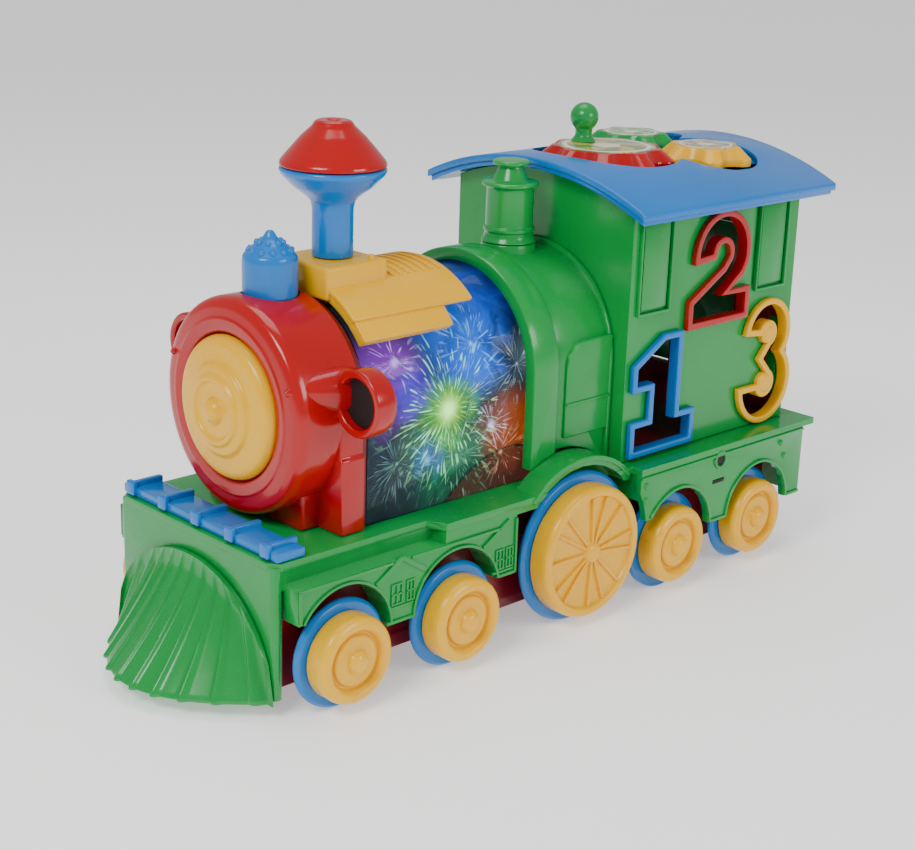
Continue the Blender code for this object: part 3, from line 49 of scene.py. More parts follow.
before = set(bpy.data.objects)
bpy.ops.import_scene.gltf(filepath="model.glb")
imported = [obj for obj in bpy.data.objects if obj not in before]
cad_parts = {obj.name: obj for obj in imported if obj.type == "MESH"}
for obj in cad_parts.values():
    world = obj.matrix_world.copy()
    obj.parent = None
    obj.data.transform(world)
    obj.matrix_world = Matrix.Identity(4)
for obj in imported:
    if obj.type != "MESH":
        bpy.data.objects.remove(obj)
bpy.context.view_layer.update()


def middle(node):
    low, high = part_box(node)
    return (low + high) / 2


DATUM = Vector((middle("axle_3").x, 0, 0))
AXLES = [(middle(f"axle_{i}").x - DATUM.x, middle(f"axle_{i}").z) for i in range(1, 6)]
BOILER_Z = middle("smokebox_door").z
CAB_MIDDLE = (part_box("cab")[0].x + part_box("cab")[1].x) / 2 - DATUM.x
LOBE_PITCH = 0.00317
LOBE_DEPTH = 0.0030
LOBE_CLEARANCE = 0.00035
RED_LOBES = 9
GEARS = {
    name: middle(f"gear_{name}") - DATUM for name in ("red", "yellow", "green")
}
# An odd number of lobes puts the box's middle off the axis, so the foremost crest gives it.
GEARS["red"].x = (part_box("gear_red")[1][0] - DATUM.x
                  - (LOBE_PITCH * RED_LOBES + LOBE_DEPTH - LOBE_CLEARANCE))


# ------------------------------------------------------------------ sizes and colours
class ToyTrainSizes(bpy.types.PropertyGroup):
    """Sizes a maker would change."""

    edge: FloatProperty(
        name="Edge rounding", description="Radius of the moulded edges",
        default=0.0006, min=0.0001, max=0.002, unit="LENGTH")
    turned_steps: IntProperty(
        name="Turned steps", description="Facets round a turned piece",
        default=112, min=24, max=256)
    plough_ribs: IntProperty(
        name="Cowcatcher ribs", description="Ribs across the cowcatcher",
        default=10, min=4, max=16)
    spoke_count: IntProperty(
        name="Spokes", description="Raised spokes on a big wheel",
        default=13, min=6, max=20)
    saddle_ribs: IntProperty(
        name="Saddle ribs", description="Fine ribs behind the chimney",
        default=7, min=3, max=12)
    trim_proud: FloatProperty(
        name="Trim height", description="How far the side mouldings stand proud",
        default=0.0009, min=0.0003, max=0.002, unit="LENGTH")


class ToyTrainColours(bpy.types.PropertyGroup):
    """Colours of the plastics."""

    green: FloatVectorProperty(
        name="Green", description="Body plastic", subtype="COLOR", size=3,
        default=(0.000, 0.280, 0.045), min=0, max=1)
    blue: FloatVectorProperty(
        name="Blue", description="Roof and funnel plastic", subtype="COLOR", size=3,
        default=(0.000, 0.165, 0.540), min=0, max=1)
    red: FloatVectorProperty(
        name="Red", description="Smokebox plastic", subtype="COLOR", size=3,
        default=(0.420, 0.000, 0.001), min=0, max=1)
    yellow: FloatVectorProperty(
        name="Yellow", description="Wheel and saddle plastic", subtype="COLOR", size=3,
        default=(0.840, 0.450, 0.000), min=0, max=1)
    dark_red: FloatVectorProperty(
        name="Dark red", description="Undertray and bin plastic", subtype="COLOR", size=3,
        default=(0.160, 0.001, 0.005), min=0, max=1)


# ------------------------------------------------------------------ shaping
AXIS_TURN = {
    "X": Matrix.Rotation(math.pi / 2, 4, "Y"),
    "Y": Matrix.Rotation(-math.pi / 2, 4, "X"),
    "Z": Matrix.Identity(4),
}
PLANE_TURN = {
    "XY": Matrix.Identity(4),
    "XZ": Matrix(((1, 0, 0, 0), (0, 0, -1, 0), (0, 1, 0, 0), (0, 0, 0, 1))),
    "YZ": Matrix(((0, 0, 1, 0), (1, 0, 0, 0), (0, 1, 0, 0), (0, 0, 0, 1))),
}


def sizes():
    return bpy.context.scene.toy_train_sizes


def colours():
    return bpy.context.scene.toy_train_colours


def arc(centre, radius, start, end, steps):
    """Points along an arc, in degrees, both ends included."""
    points = []
    for i in range(steps + 1):
        angle = math.radians(start + (end - start) * i / steps)
        points.append((centre[0] + radius * math.cos(angle),
                       centre[1] + radius * math.sin(angle)))
    return points


def rounded(points, radius, steps=3, closed=False):
    """The same run of points with each corner turned into a small curve."""
    made = []
    count = len(points)
    for i, point in enumerate(points):
        here = Vector(point)
        if not closed and i in (0, count - 1):
            made.append(tuple(here))
            continue
        before = Vector(points[i - 1]) - here
        after = Vector(points[(i + 1) % count]) - here
        reach = min(radius, before.length * 0.45, after.length * 0.45)
        start = here + before.normalized() * reach
        end = here + after.normalized() * reach
        for k in range(steps + 1):
            t = k / steps
            made.append(tuple(start * (1 - t) ** 2 + here * 2 * t * (1 - t) + end * t ** 2))
    return made


def offset_outline(outline, distance):
    """The outline moved outwards by a distance, with mitred corners."""
    area = sum(a[0] * b[1] - b[0] * a[1] for a, b in zip(outline, outline[1:] + outline[:1]))
    turn = 1 if area > 0 else -1
    moved = []
    count = len(outline)
    for i, point in enumerate(outline):
        before = Vector(point) - Vector(outline[i - 1])
        after = Vector(outline[(i + 1) % count]) - Vector(point)
        first = Vector((before.y, -before.x)).normalized()
        second = Vector((after.y, -after.x)).normalized()
        between = (first + second).normalized()
        reach = distance / max(between.dot(first), 0.5)
        moved.append(tuple(Vector(point) + turn * reach * between))
    return moved


def lathe(profile, axis="Z", centre=(0, 0, 0), steps=None):
    """A turned solid from (radius, height) pairs, closed where the profile meets the axis."""
    bm = bmesh.new()
    row = [bm.verts.new((radius, 0, height)) for radius, height in profile]
    line = [bm.edges.new(pair) for pair in zip(row, row[1:])]
    bmesh.ops.spin(
        bm, geom=row + line, cent=(0, 0, 0), axis=(0, 0, 1), dvec=(0, 0, 0),
        angle=2 * math.pi, steps=steps or sizes().turned_steps, use_merge=True,
        use_normal_flip=False, use_duplicate=False)
    bmesh.ops.remove_doubles(bm, verts=bm.verts, dist=1e-6)
    bmesh.ops.transform(
        bm, matrix=Matrix.Translation(centre) @ AXIS_TURN[axis], verts=bm.verts)
    return bm


def soften(bm, width, segments=2, sharper_than=38):
    """Rounds every edge that turns by more than an angle."""
    limit = math.radians(sharper_than)
    rims = [
        edge for edge in bm.edges
        if len(edge.link_faces) == 2 and edge.calc_face_angle(0.0) > limit
    ]
    bmesh.ops.bevel(
        bm, geom=rims, offset=width, offset_type="OFFSET", segments=segments, profile=0.5,
        affect="EDGES", clamp_overlap=True, material=-1)


def slab(outline, plane, low, high, edge=0.0, segments=2, hole=None):
    """A flat outline, with one hole if given, raised between two levels of its normal axis."""
    if plane == "XZ":
        low, high = -high, -low
    bm = bmesh.new()
    rims = []
    for points in [outline] + ([hole] if hole else []):
        corners = [bm.verts.new((a, b, low)) for a, b in points]
        rims += [bm.edges.new((corners[i - 1], corners[i])) for i in range(len(corners))]
    if hole and len(hole) == len(outline):
        bmesh.ops.bridge_loops(bm, edges=rims)
    elif hole:
        bmesh.ops.triangle_fill(bm, edges=rims, use_beauty=True, use_dissolve=False)
    else:
        bmesh.ops.edgeloop_fill(bm, edges=rims)
    raised = bmesh.ops.extrude_face_region(bm, geom=bm.faces[:], use_keep_orig=True)
    lifted = [item for item in raised["geom"] if isinstance(item, bmesh.types.BMVert)]
    bmesh.ops.translate(bm, vec=(0, 0, high - low), verts=lifted)
    bmesh.ops.recalc_face_normals(bm, faces=bm.faces)
    if edge:
        soften(bm, edge, segments)
    bmesh.ops.transform(bm, matrix=PLANE_TURN[plane], verts=bm.verts)
    return bm


def block(low, high, edge=0.0, segments=2):
    """A box between two corners with rounded edges."""
    low, high = Vector(low), Vector(high)
    bm = bmesh.new()
    grow = Matrix.Diagonal((*(high - low), 1))
    bmesh.ops.create_cube(bm, size=1, matrix=Matrix.Translation((low + high) / 2) @ grow)
    if edge:
        soften(bm, edge, segments)
    return bm


def rod(start, length, radius, axis="Z", steps=48, end_radius=None, edge=0.0):
    """A round bar from a start point along an axis."""
    bm = bmesh.new()
    turn = AXIS_TURN[axis]
    centre = Vector(start) + turn.to_3x3() @ Vector((0, 0, length / 2))
    bmesh.ops.create_cone(
        bm, cap_ends=True, segments=steps, radius1=radius,
        radius2=radius if end_radius is None else end_radius, depth=length,
        matrix=Matrix.Translation(centre) @ turn)
    if edge:
        soften(bm, edge)
    return bm


def gathered(*parts):
    """Several shapes in one mesh."""
    whole = parts[0]
    for part in parts[1:]:
        mesh = bpy.data.meshes.new("gathered")
        part.to_mesh(mesh)
        part.free()
        whole.from_mesh(mesh)
        bpy.data.meshes.remove(mesh)
    return whole


def mirrored_too(bm):
    """The shape and its mirror image across the engine's middle."""
    mesh = bpy.data.meshes.new("half")
    bm.to_mesh(mesh)
    twin = bmesh.new()
    twin.from_mesh(mesh)
    bpy.data.meshes.remove(mesh)
    bmesh.ops.scale(twin, vec=(1, -1, 1), verts=twin.verts)
    bmesh.ops.reverse_faces(twin, faces=twin.faces)
    return gathered(bm, twin)


def copied(bm, matrix):
    """A moved or turned copy of a shape."""
    mesh = bpy.data.meshes.new("copied")
    bm.to_mesh(mesh)
    twin = bmesh.new()
    twin.from_mesh(mesh)
    bpy.data.meshes.remove(mesh)
    bmesh.ops.transform(twin, matrix=matrix, verts=twin.verts)
    if matrix.determinant() < 0:
        bmesh.ops.reverse_faces(twin, faces=twin.faces)
    return twin


def combined(base, other, operation):
    """Two solids joined, cut or crossed with an exact Boolean."""
    holders = []
    for bm in (base, other):
        bmesh.ops.recalc_face_normals(bm, faces=bm.faces)
        mesh = bpy.data.meshes.new("solid")
        bm.to_mesh(mesh)
        bm.free()
        holder = bpy.data.objects.new("solid", mesh)
        bpy.context.scene.collection.objects.link(holder)
        holders.append(holder)
    modifier = holders[0].modifiers.new("combine", "BOOLEAN")
    modifier.operation = operation
    modifier.solver = "EXACT"
    modifier.object = holders[1]
    graph = bpy.context.evaluated_depsgraph_get()
    made = bpy.data.meshes.new_from_object(holders[0].evaluated_get(graph))
    result = bmesh.new()
    result.from_mesh(made)
    bpy.data.meshes.remove(made)
    for holder in holders:
        mesh = holder.data
        bpy.data.objects.remove(holder)
        bpy.data.meshes.remove(mesh)
    bmesh.ops.remove_doubles(result, verts=result.verts, dist=2e-6)
    return result


def node_copy(node, flat_angle=0.3):
    """A merged copy of a frame node, on its own flat faces."""
    bm = bmesh.new()
    bm.from_mesh(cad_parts[node].data)
    bmesh.ops.remove_doubles(bm, verts=bm.verts, dist=4e-6)
    bmesh.ops.dissolve_limit(
        bm, angle_limit=math.radians(flat_angle), use_dissolve_boundaries=False,
        verts=bm.verts, edges=bm.edges, delimit=set())
    # Faces with holes keep a seam, and splitting them first keeps the bevel off it.
    bmesh.ops.triangulate(bm, faces=bm.faces, quad_method="BEAUTY", ngon_method="BEAUTY")
    bmesh.ops.translate(bm, vec=-DATUM, verts=bm.verts)
    return bm


def finish_piece(name, bm, finish, body="engine", replaces=(), angle=36):
    """Turns a drawn shape into a finished piece that rides on a body."""
    bmesh.ops.remove_doubles(bm, verts=bm.verts, dist=1e-6)
    bmesh.ops.recalc_face_normals(bm, faces=bm.faces)
    bmesh.ops.translate(bm, vec=DATUM, verts=bm.verts)
    mesh = bpy.data.meshes.new(name)
    bm.to_mesh(mesh)
    bm.free()
    mesh.shade_smooth()
    mesh.set_sharp_from_angle(angle=math.radians(angle))
    piece = bpy.data.objects.new(name, mesh)
    bpy.context.scene.collection.objects.link(piece)
    mesh.materials.append(finish)
    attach(piece, body)
    if replaces:
        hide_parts(*replaces)
    return piece


def round_edges(piece, width, segments=2):
    """A live rounding of a piece's sharp edges."""
    modifier = piece.modifiers.new("rounded edges", "BEVEL")
    modifier.width = width
    modifier.segments = segments
    modifier.limit_method = "ANGLE"
    modifier.angle_limit = math.radians(40)
    modifier.use_clamp_overlap = True
    modifier.harden_normals = False
    return piece


def dress_node(node, finish):
    """Gives a frame node a finer material."""
    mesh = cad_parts[node].data
    mesh.materials.clear()
    mesh.materials.append(finish)


def add_node(tree, kind, settings=None, **inputs):
    """A node with its settings and plain input values."""
    node = tree.nodes.new(kind)
    for key, value in (settings or {}).items():
        setattr(node, key, value)
    for key, value in inputs.items():
        node.inputs[key.replace("_", " ")].default_value = value
    return node


def arithmetic(tree, operation, first, second=None, third=None, clamp=False):
    """A Math node fed by sockets or numbers; returns its output."""
    node = tree.nodes.new("ShaderNodeMath")
    node.operation = operation
    node.use_clamp = clamp
    for socket, value in zip(node.inputs, (first, second, third)):
        if value is None:
            continue
        if isinstance(value, (int, float)):
            socket.default_value = value
        else:
            tree.links.new(value, socket)
    return node.outputs[0]


def eased(tree, value, low, high, bottom=0.0, top=1.0):
    """A smooth step of a value between two levels."""
    node = tree.nodes.new("ShaderNodeMapRange")
    node.interpolation_type = "SMOOTHSTEP"
    tree.links.new(value, node.inputs["Value"])
    node.inputs["From Min"].default_value = low
    node.inputs["From Max"].default_value = high
    node.inputs["To Min"].default_value = bottom
    node.inputs["To Max"].default_value = top
    return node.outputs["Result"]


def blended(tree, factor, first, second, mode="MIX"):
    """Two colours mixed by a factor; each may be a socket or a colour."""
    node = tree.nodes.new("ShaderNodeMix")
    node.data_type = "RGBA"
    node.blend_type = mode
    for socket, value in ((node.inputs[0], factor), (node.inputs[6], first),
                          (node.inputs[7], second)):
        if isinstance(value, bpy.types.NodeSocket):
            tree.links.new(value, socket)
        else:
            socket.default_value = value
    return node.outputs[2]


def new_group(name, inputs, outputs):
    """An empty node group with named sockets, and its two end nodes."""
    tree = bpy.data.node_groups.new(name, "ShaderNodeTree")
    for label, kind, value in inputs:
        socket = tree.interface.new_socket(name=label, in_out="INPUT", socket_type=kind)
        socket.default_value = value
    for label, kind in outputs:
        tree.interface.new_socket(name=label, in_out="OUTPUT", socket_type=kind)
    return tree, tree.nodes.new("NodeGroupInput"), tree.nodes.new("NodeGroupOutput")


def moulding_group():
    """Skin of a polished moulding: soft tone drift, faint flow marks and a fine ripple."""
    found = bpy.data.node_groups.get("Moulding skin")
    if found:
        return found
    tree, given, out = new_group(
        "Moulding skin",
        [("Colour", "NodeSocketColor", (0.5, 0.5, 0.5, 1)),
         ("Deep colour", "NodeSocketColor", (0.4, 0.4, 0.4, 1)),
         ("Drift", "NodeSocketFloat", 0.35),
         ("Roughness", "NodeSocketFloat", 0.2),
         ("Handling", "NodeSocketFloat", 0.08)],
        [("Colour", "NodeSocketColor"), ("Roughness", "NodeSocketFloat"),
         ("Height", "NodeSocketFloat")])
    place = tree.nodes.new("ShaderNodeTexCoord").outputs["Object"]
    broad = add_node(tree, "ShaderNodeTexNoise", Scale=22.0, Detail=2.0, Roughness=0.5)
    flow = add_node(tree, "ShaderNodeTexNoise", Scale=90.0, Detail=4.0, Roughness=0.6,
                    Distortion=0.6)
    ripple = add_node(tree, "ShaderNodeTexNoise", Scale=650.0, Detail=2.0, Roughness=0.5)
    scuff = add_node(tree, "ShaderNodeTexNoise", Scale=2600.0, Detail=2.0, Roughness=0.7)
    for noise in (broad, flow, ripple, scuff):
        tree.links.new(place, noise.inputs["Vector"])
    drift = eased(tree, broad.outputs["Fac"], 0.35, 0.68)
    tone = arithmetic(tree, "MULTIPLY", drift, given.outputs["Drift"])
    tree.links.new(blended(tree, tone, given.outputs["Colour"], given.outputs["Deep colour"]),
                   out.inputs["Colour"])
    marks = eased(tree, flow.outputs["Fac"], 0.45, 0.75)
    rub = arithmetic(tree, "MULTIPLY", marks, given.outputs["Handling"])
    fine = arithmetic(tree, "MULTIPLY", scuff.outputs["Fac"], 0.03)
    rough = arithmetic(tree, "ADD", given.outputs["Roughness"], rub)
    tree.links.new(arithmetic(tree, "ADD", rough, fine), out.inputs["Roughness"])
    low = arithmetic(tree, "MULTIPLY", ripple.outputs["Fac"], 0.7)
    tree.links.new(arithmetic(tree, "MULTIPLY_ADD", flow.outputs["Fac"], 0.5, low),
                   out.inputs["Height"])
    return tree


def moulding(name, colour, deep, roughness=0.20, coat=0.15, drift=0.35, handling=0.08,
             ripple=0.00003):
    """A glossy moulded plastic."""
    made = bpy.data.materials.new(name)
    made.use_nodes = True
    tree = made.node_tree
    shader = tree.nodes["Principled BSDF"]
    skin = tree.nodes.new("ShaderNodeGroup")
    skin.node_tree = moulding_group()
    skin.inputs["Colour"].default_value = (*colour, 1)
    skin.inputs["Deep colour"].default_value = (*deep, 1)
    skin.inputs["Drift"].default_value = drift
    skin.inputs["Roughness"].default_value = roughness
    skin.inputs["Handling"].default_value = handling
    bump = add_node(tree, "ShaderNodeBump", Strength=0.25, Distance=ripple)
    tree.links.new(skin.outputs["Colour"], shader.inputs["Base Color"])
    tree.links.new(skin.outputs["Roughness"], shader.inputs["Roughness"])
    tree.links.new(skin.outputs["Height"], bump.inputs["Height"])
    tree.links.new(bump.outputs["Normal"], shader.inputs["Normal"])
    shader.inputs["IOR"].default_value = 1.42
    shader.inputs["Coat Weight"].default_value = coat
    shader.inputs["Coat Roughness"].default_value = 0.06
    return made


def scaled_colour(colour, amount):
    return tuple(min(channel * amount, 1) for channel in colour)


def clear_plastic():
    made = bpy.data.materials.new("clear window")
    made.use_nodes = True
    tree = made.node_tree
    shader = tree.nodes["Principled BSDF"]
    place = tree.nodes.new("ShaderNodeTexCoord").outputs["Object"]
    haze = add_node(tree, "ShaderNodeTexNoise", Scale=140.0, Detail=3.0, Roughness=0.6)
    tree.links.new(place, haze.inputs["Vector"])
    tree.links.new(eased(tree, haze.outputs["Fac"], 0.4, 0.8, 0.02, 0.05),
                   shader.inputs["Roughness"])
    tree.links.new(
        blended(tree, haze.outputs["Fac"], (0.90, 0.95, 1, 1), (0.96, 0.98, 1, 1)),
        shader.inputs["Base Color"])
    shader.inputs["Transmission Weight"].default_value = 1.0
    shader.inputs["IOR"].default_value = 1.18
    return made


def spark_group():
    """Broken bright rays that spread from a centre, and the glow at that centre."""
    found = bpy.data.node_groups.get("Spark burst")
    if found:
        return found
    tree, given, out = new_group(
        "Spark burst",
        [("Across", "NodeSocketFloat", 0.0), ("Up", "NodeSocketFloat", 0.0),
         ("Rays", "NodeSocketFloat", 9.0), ("Seed", "NodeSocketFloat", 0.0),
         ("Reach", "NodeSocketFloat", 0.03), ("Heart", "NodeSocketFloat", 0.004),
         ("Dash", "NodeSocketFloat", 130.0)],
        [("Rays", "NodeSocketFloat"), ("Glow", "NodeSocketFloat")])
    across, up = given.outputs["Across"], given.outputs["Up"]
    square = arithmetic(tree, "MULTIPLY", across, across)
    away = arithmetic(tree, "SQRT", arithmetic(tree, "MULTIPLY_ADD", up, up, square))
    safe = arithmetic(tree, "MAXIMUM", away, 0.00001)
    vector = tree.nodes.new("ShaderNodeCombineXYZ")
    tree.links.new(arithmetic(tree, "MULTIPLY", arithmetic(tree, "DIVIDE", across, safe),
                              given.outputs["Rays"]), vector.inputs[0])
    tree.links.new(arithmetic(tree, "MULTIPLY", arithmetic(tree, "DIVIDE", up, safe),
                              given.outputs["Rays"]), vector.inputs[1])
    tree.links.new(arithmetic(tree, "MULTIPLY_ADD", away, given.outputs["Dash"],
                              given.outputs["Seed"]), vector.inputs[2])
    noise = add_node(tree, "ShaderNodeTexNoise", Scale=1.0, Detail=1.0, Roughness=0.4)
    tree.links.new(vector.outputs[0], noise.inputs["Vector"])
    streak = eased(tree, noise.outputs["Fac"], 0.625, 0.675)
    share = arithmetic(tree, "DIVIDE", away, given.outputs["Reach"])
    fade = eased(tree, share, 0.15, 1.0, 1.0, 0.0)
    tree.links.new(arithmetic(tree, "MULTIPLY", streak, fade), out.inputs["Rays"])
    core = eased(tree, arithmetic(tree, "DIVIDE", away, given.outputs["Heart"]), 0.0, 1.0,
                 1.0, 0.0)
    tree.links.new(core, out.inputs["Glow"])
    return tree


def patch_group():
    """A soft patch of colour laid over another."""
    found = bpy.data.node_groups.get("Colour patch")
    if found:
        return found
    tree, given, out = new_group(
        "Colour patch",
        [("Across", "NodeSocketFloat", 0.0), ("Up", "NodeSocketFloat", 0.0),
         ("Size", "NodeSocketFloat", 0.02), ("Under", "NodeSocketColor", (0, 0, 0, 1)),
         ("Colour", "NodeSocketColor", (1, 1, 1, 1))],
        [("Colour", "NodeSocketColor")])
    square = arithmetic(tree, "MULTIPLY", given.outputs["Across"], given.outputs["Across"])
    away = arithmetic(tree, "SQRT", arithmetic(
        tree, "MULTIPLY_ADD", given.outputs["Up"], given.outputs["Up"], square))
    share = arithmetic(tree, "DIVIDE", away, given.outputs["Size"])
    cover = eased(tree, share, 0.2, 1.0, 1.0, 0.0)
    tree.links.new(blended(tree, cover, given.outputs["Under"], given.outputs["Colour"]),
                   out.inputs["Colour"])
    return tree


# Each patch: across and up from the film's own centre line, size and colour.
FILM_PATCHES = (
    (0.0450, 0.0440, 0.0420, (0.000, 0.030, 0.420)),
    (0.0500, 0.0220, 0.0330, (0.000, 0.130, 0.750)),
    (0.0920, 0.0120, 0.0260, (0.230, 0.020, 0.480)),
    (0.0800, 0.0040, 0.0160, (0.070, 0.030, 0.700)),
    (0.0640, -0.0260, 0.0340, (0.000, 0.190, 0.070)),
    (0.0240, -0.0220, 0.0240, (0.420, 0.060, 0.006)),
    (0.0140, 0.0080, 0.0140, (0.090, 0.130, 0.160)),
    (0.0900, -0.0400, 0.0300, (0.008, 0.022, 0.028)),
    (0.0560, -0.0460, 0.0200, (0.010, 0.040, 0.034)),
    (0.0720, -0.0240, 0.0110, (0.010, 0.150, 0.400)),
    (0.0290, -0.0440, 0.0090, (0.001, 0.001, 0.002)),
    (0.0610, -0.0060, 0.0190, (0.050, 0.560, 0.020)),
)
# Each burst: across, up, rays, seed, reach, heart, strength and colour.
FILM_BURSTS = (
    (0.0610, -0.0060, 21.0, 3.1, 0.0440, 0.0060, 1.5, (0.35, 1.00, 0.42)),
    (0.0610, -0.0060, 34.0, 9.4, 0.0300, 0.0095, 0.8, (0.75, 0.90, 0.06)),
    (0.0370, -0.0170, 12.0, 5.5, 0.0150, 0.0032, 1.1, (0.55, 0.70, 1.00)),
    (0.0870, 0.0170, 10.0, 7.7, 0.0180, 0.0028, 1.0, (0.75, 0.50, 1.00)),
    (0.0720, -0.0250, 13.0, 1.9, 0.0150, 0.0030, 0.9, (0.20, 0.70, 1.00)),
    (0.0460, 0.0180, 15.0, 4.2, 0.0240, 0.0018, 0.8, (0.35, 0.75, 1.00)),
    (0.0310, -0.0300, 15.0, 8.8, 0.0180, 0.0016, 0.8, (1.00, 0.60, 0.35)),
    (0.0560, -0.0260, 24.0, 6.1, 0.0300, 0.0010, 0.6, (0.35, 0.95, 0.60)),
    (0.0230, 0.0060, 19.0, 2.6, 0.0200, 0.0012, 0.6, (0.70, 0.80, 1.00)),
    (0.0880, -0.0230, 21.0, 4.9, 0.0220, 0.0012, 0.5, (0.35, 0.85, 0.85)),
)


def burst_film():
    """The film inside the window: a dark print of coloured light bursts, whose glow is painted
    light standing in for the light the clear window lets onto it.
    """
    made = bpy.data.materials.new("light burst film")
    made.use_nodes = True
    tree = made.node_tree
    shader = tree.nodes["Principled BSDF"]
    place = tree.nodes.new("ShaderNodeTexCoord").outputs["Object"]
    apart = tree.nodes.new("ShaderNodeSeparateXYZ")
    tree.links.new(place, apart.inputs[0])
    across = arithmetic(tree, "SUBTRACT", apart.outputs[0], DATUM.x)
    side = arithmetic(tree, "ABSOLUTE", apart.outputs[1])
    above = arithmetic(tree, "SUBTRACT", apart.outputs[2], BOILER_Z)
    # Above the centre line the film's height runs round the hood's curve.
    lifted = arithmetic(tree, "MAXIMUM", above, 0.0)
    angle = arithmetic(tree, "ARCTAN2", lifted, side)
    curved = arithmetic(tree, "MULTIPLY", angle, 0.0388)
    up = arithmetic(tree, "ADD", curved, arithmetic(tree, "MINIMUM", above, 0.0))

    cloud = add_node(tree, "ShaderNodeTexNoise", Scale=55.0, Detail=5.0, Roughness=0.65,
                     Distortion=0.8)
    tree.links.new(place, cloud.inputs["Vector"])
    shift = arithmetic(tree, "MULTIPLY_ADD", cloud.outputs["Fac"], 0.022, -0.011)
    warm_across = arithmetic(tree, "ADD", across, shift)
    warm_up = arithmetic(tree, "ADD", up, shift)
    base = (0.006, 0.016, 0.030, 1)
    for x, y, size, colour in FILM_PATCHES:
        patch = tree.nodes.new("ShaderNodeGroup")
        patch.node_tree = patch_group()
        tree.links.new(arithmetic(tree, "SUBTRACT", warm_across, x), patch.inputs["Across"])
        tree.links.new(arithmetic(tree, "SUBTRACT", warm_up, y), patch.inputs["Up"])
        patch.inputs["Size"].default_value = size
        patch.inputs["Colour"].default_value = (*colour, 1)
        if isinstance(base, tuple):
            patch.inputs["Under"].default_value = base
        else:
            tree.links.new(base, patch.inputs["Under"])
        base = patch.outputs["Colour"]
    mottled = eased(tree, cloud.outputs["Fac"], 0.3, 0.75, 0.55, 1.35)
    total = blended(tree, 1.0, base, mottled, "MULTIPLY")
    # The wheel housing shows as a brown arch behind the film's lower edge.
    arch_x, arch_z, arch_radius = 0.0260, -0.0755, 0.0467
    from_x = arithmetic(tree, "SUBTRACT", across, arch_x)
    from_z = arithmetic(tree, "SUBTRACT", up, arch_z)
    square = arithmetic(tree, "MULTIPLY", from_z, from_z)
    away = arithmetic(tree, "SQRT", arithmetic(tree, "MULTIPLY_ADD", from_x, from_x, square))
    under = eased(tree, away, arch_radius - 0.0006, arch_radius, 0.8, 0.0)
    total = blended(tree, under, total, (0.075, 0.016, 0.010, 1))
    near = arithmetic(tree, "ABSOLUTE", arithmetic(tree, "SUBTRACT", away, arch_radius))
    total = blended(tree, eased(tree, near, 0.0003, 0.0010, 0.9, 0.0), total,
                    (0.002, 0.002, 0.003, 1))
    for x, y, rays, seed, reach, heart, strength, colour in FILM_BURSTS:
        burst = tree.nodes.new("ShaderNodeGroup")
        burst.node_tree = spark_group()
        tree.links.new(arithmetic(tree, "SUBTRACT", across, x), burst.inputs["Across"])
        tree.links.new(arithmetic(tree, "SUBTRACT", up, y), burst.inputs["Up"])
        for label, value in (("Rays", rays), ("Seed", seed), ("Reach", reach), ("Heart", heart)):
            burst.inputs[label].default_value = value
        light = arithmetic(tree, "MAXIMUM", burst.outputs["Rays"], burst.outputs["Glow"])
        bright = arithmetic(tree, "MULTIPLY", light, strength)
        total = blended(tree, 1.0, total, blended(
            tree, 1.0, (*colour, 1), bright, "MULTIPLY"), "ADD")
    # The whole film's emission is painted light: the print glows in place of being lit through the
    # clear window.
    tree.links.new(total, shader.inputs["Emission Color"])
    tree.links.new(blended(tree, 0.85, base, (0.004, 0.004, 0.006, 1)),
                   shader.inputs["Base Color"])
    shader.inputs["Emission Strength"].default_value = 1.0
    shader.inputs["Specular IOR Level"].default_value = 0.15
    shader.inputs["Roughness"].default_value = 0.35
    return made


def bright_steel():
    made = bpy.data.materials.new("bright steel")
    made.use_nodes = True
    tree = made.node_tree
    shader = tree.nodes["Principled BSDF"]
    place = tree.nodes.new("ShaderNodeTexCoord").outputs["Object"]
    grain = add_node(tree, "ShaderNodeTexNoise", Scale=900.0, Detail=3.0)
    tree.links.new(place, grain.inputs["Vector"])
    tree.links.new(blended(tree, grain.outputs["Fac"], (0.52, 0.53, 0.55, 1),
                           (0.70, 0.71, 0.72, 1)), shader.inputs["Base Color"])
    tree.links.new(eased(tree, grain.outputs["Fac"], 0.3, 0.7, 0.22, 0.38),
                   shader.inputs["Roughness"])
    shader.inputs["Metallic"].default_value = 1.0
    return made


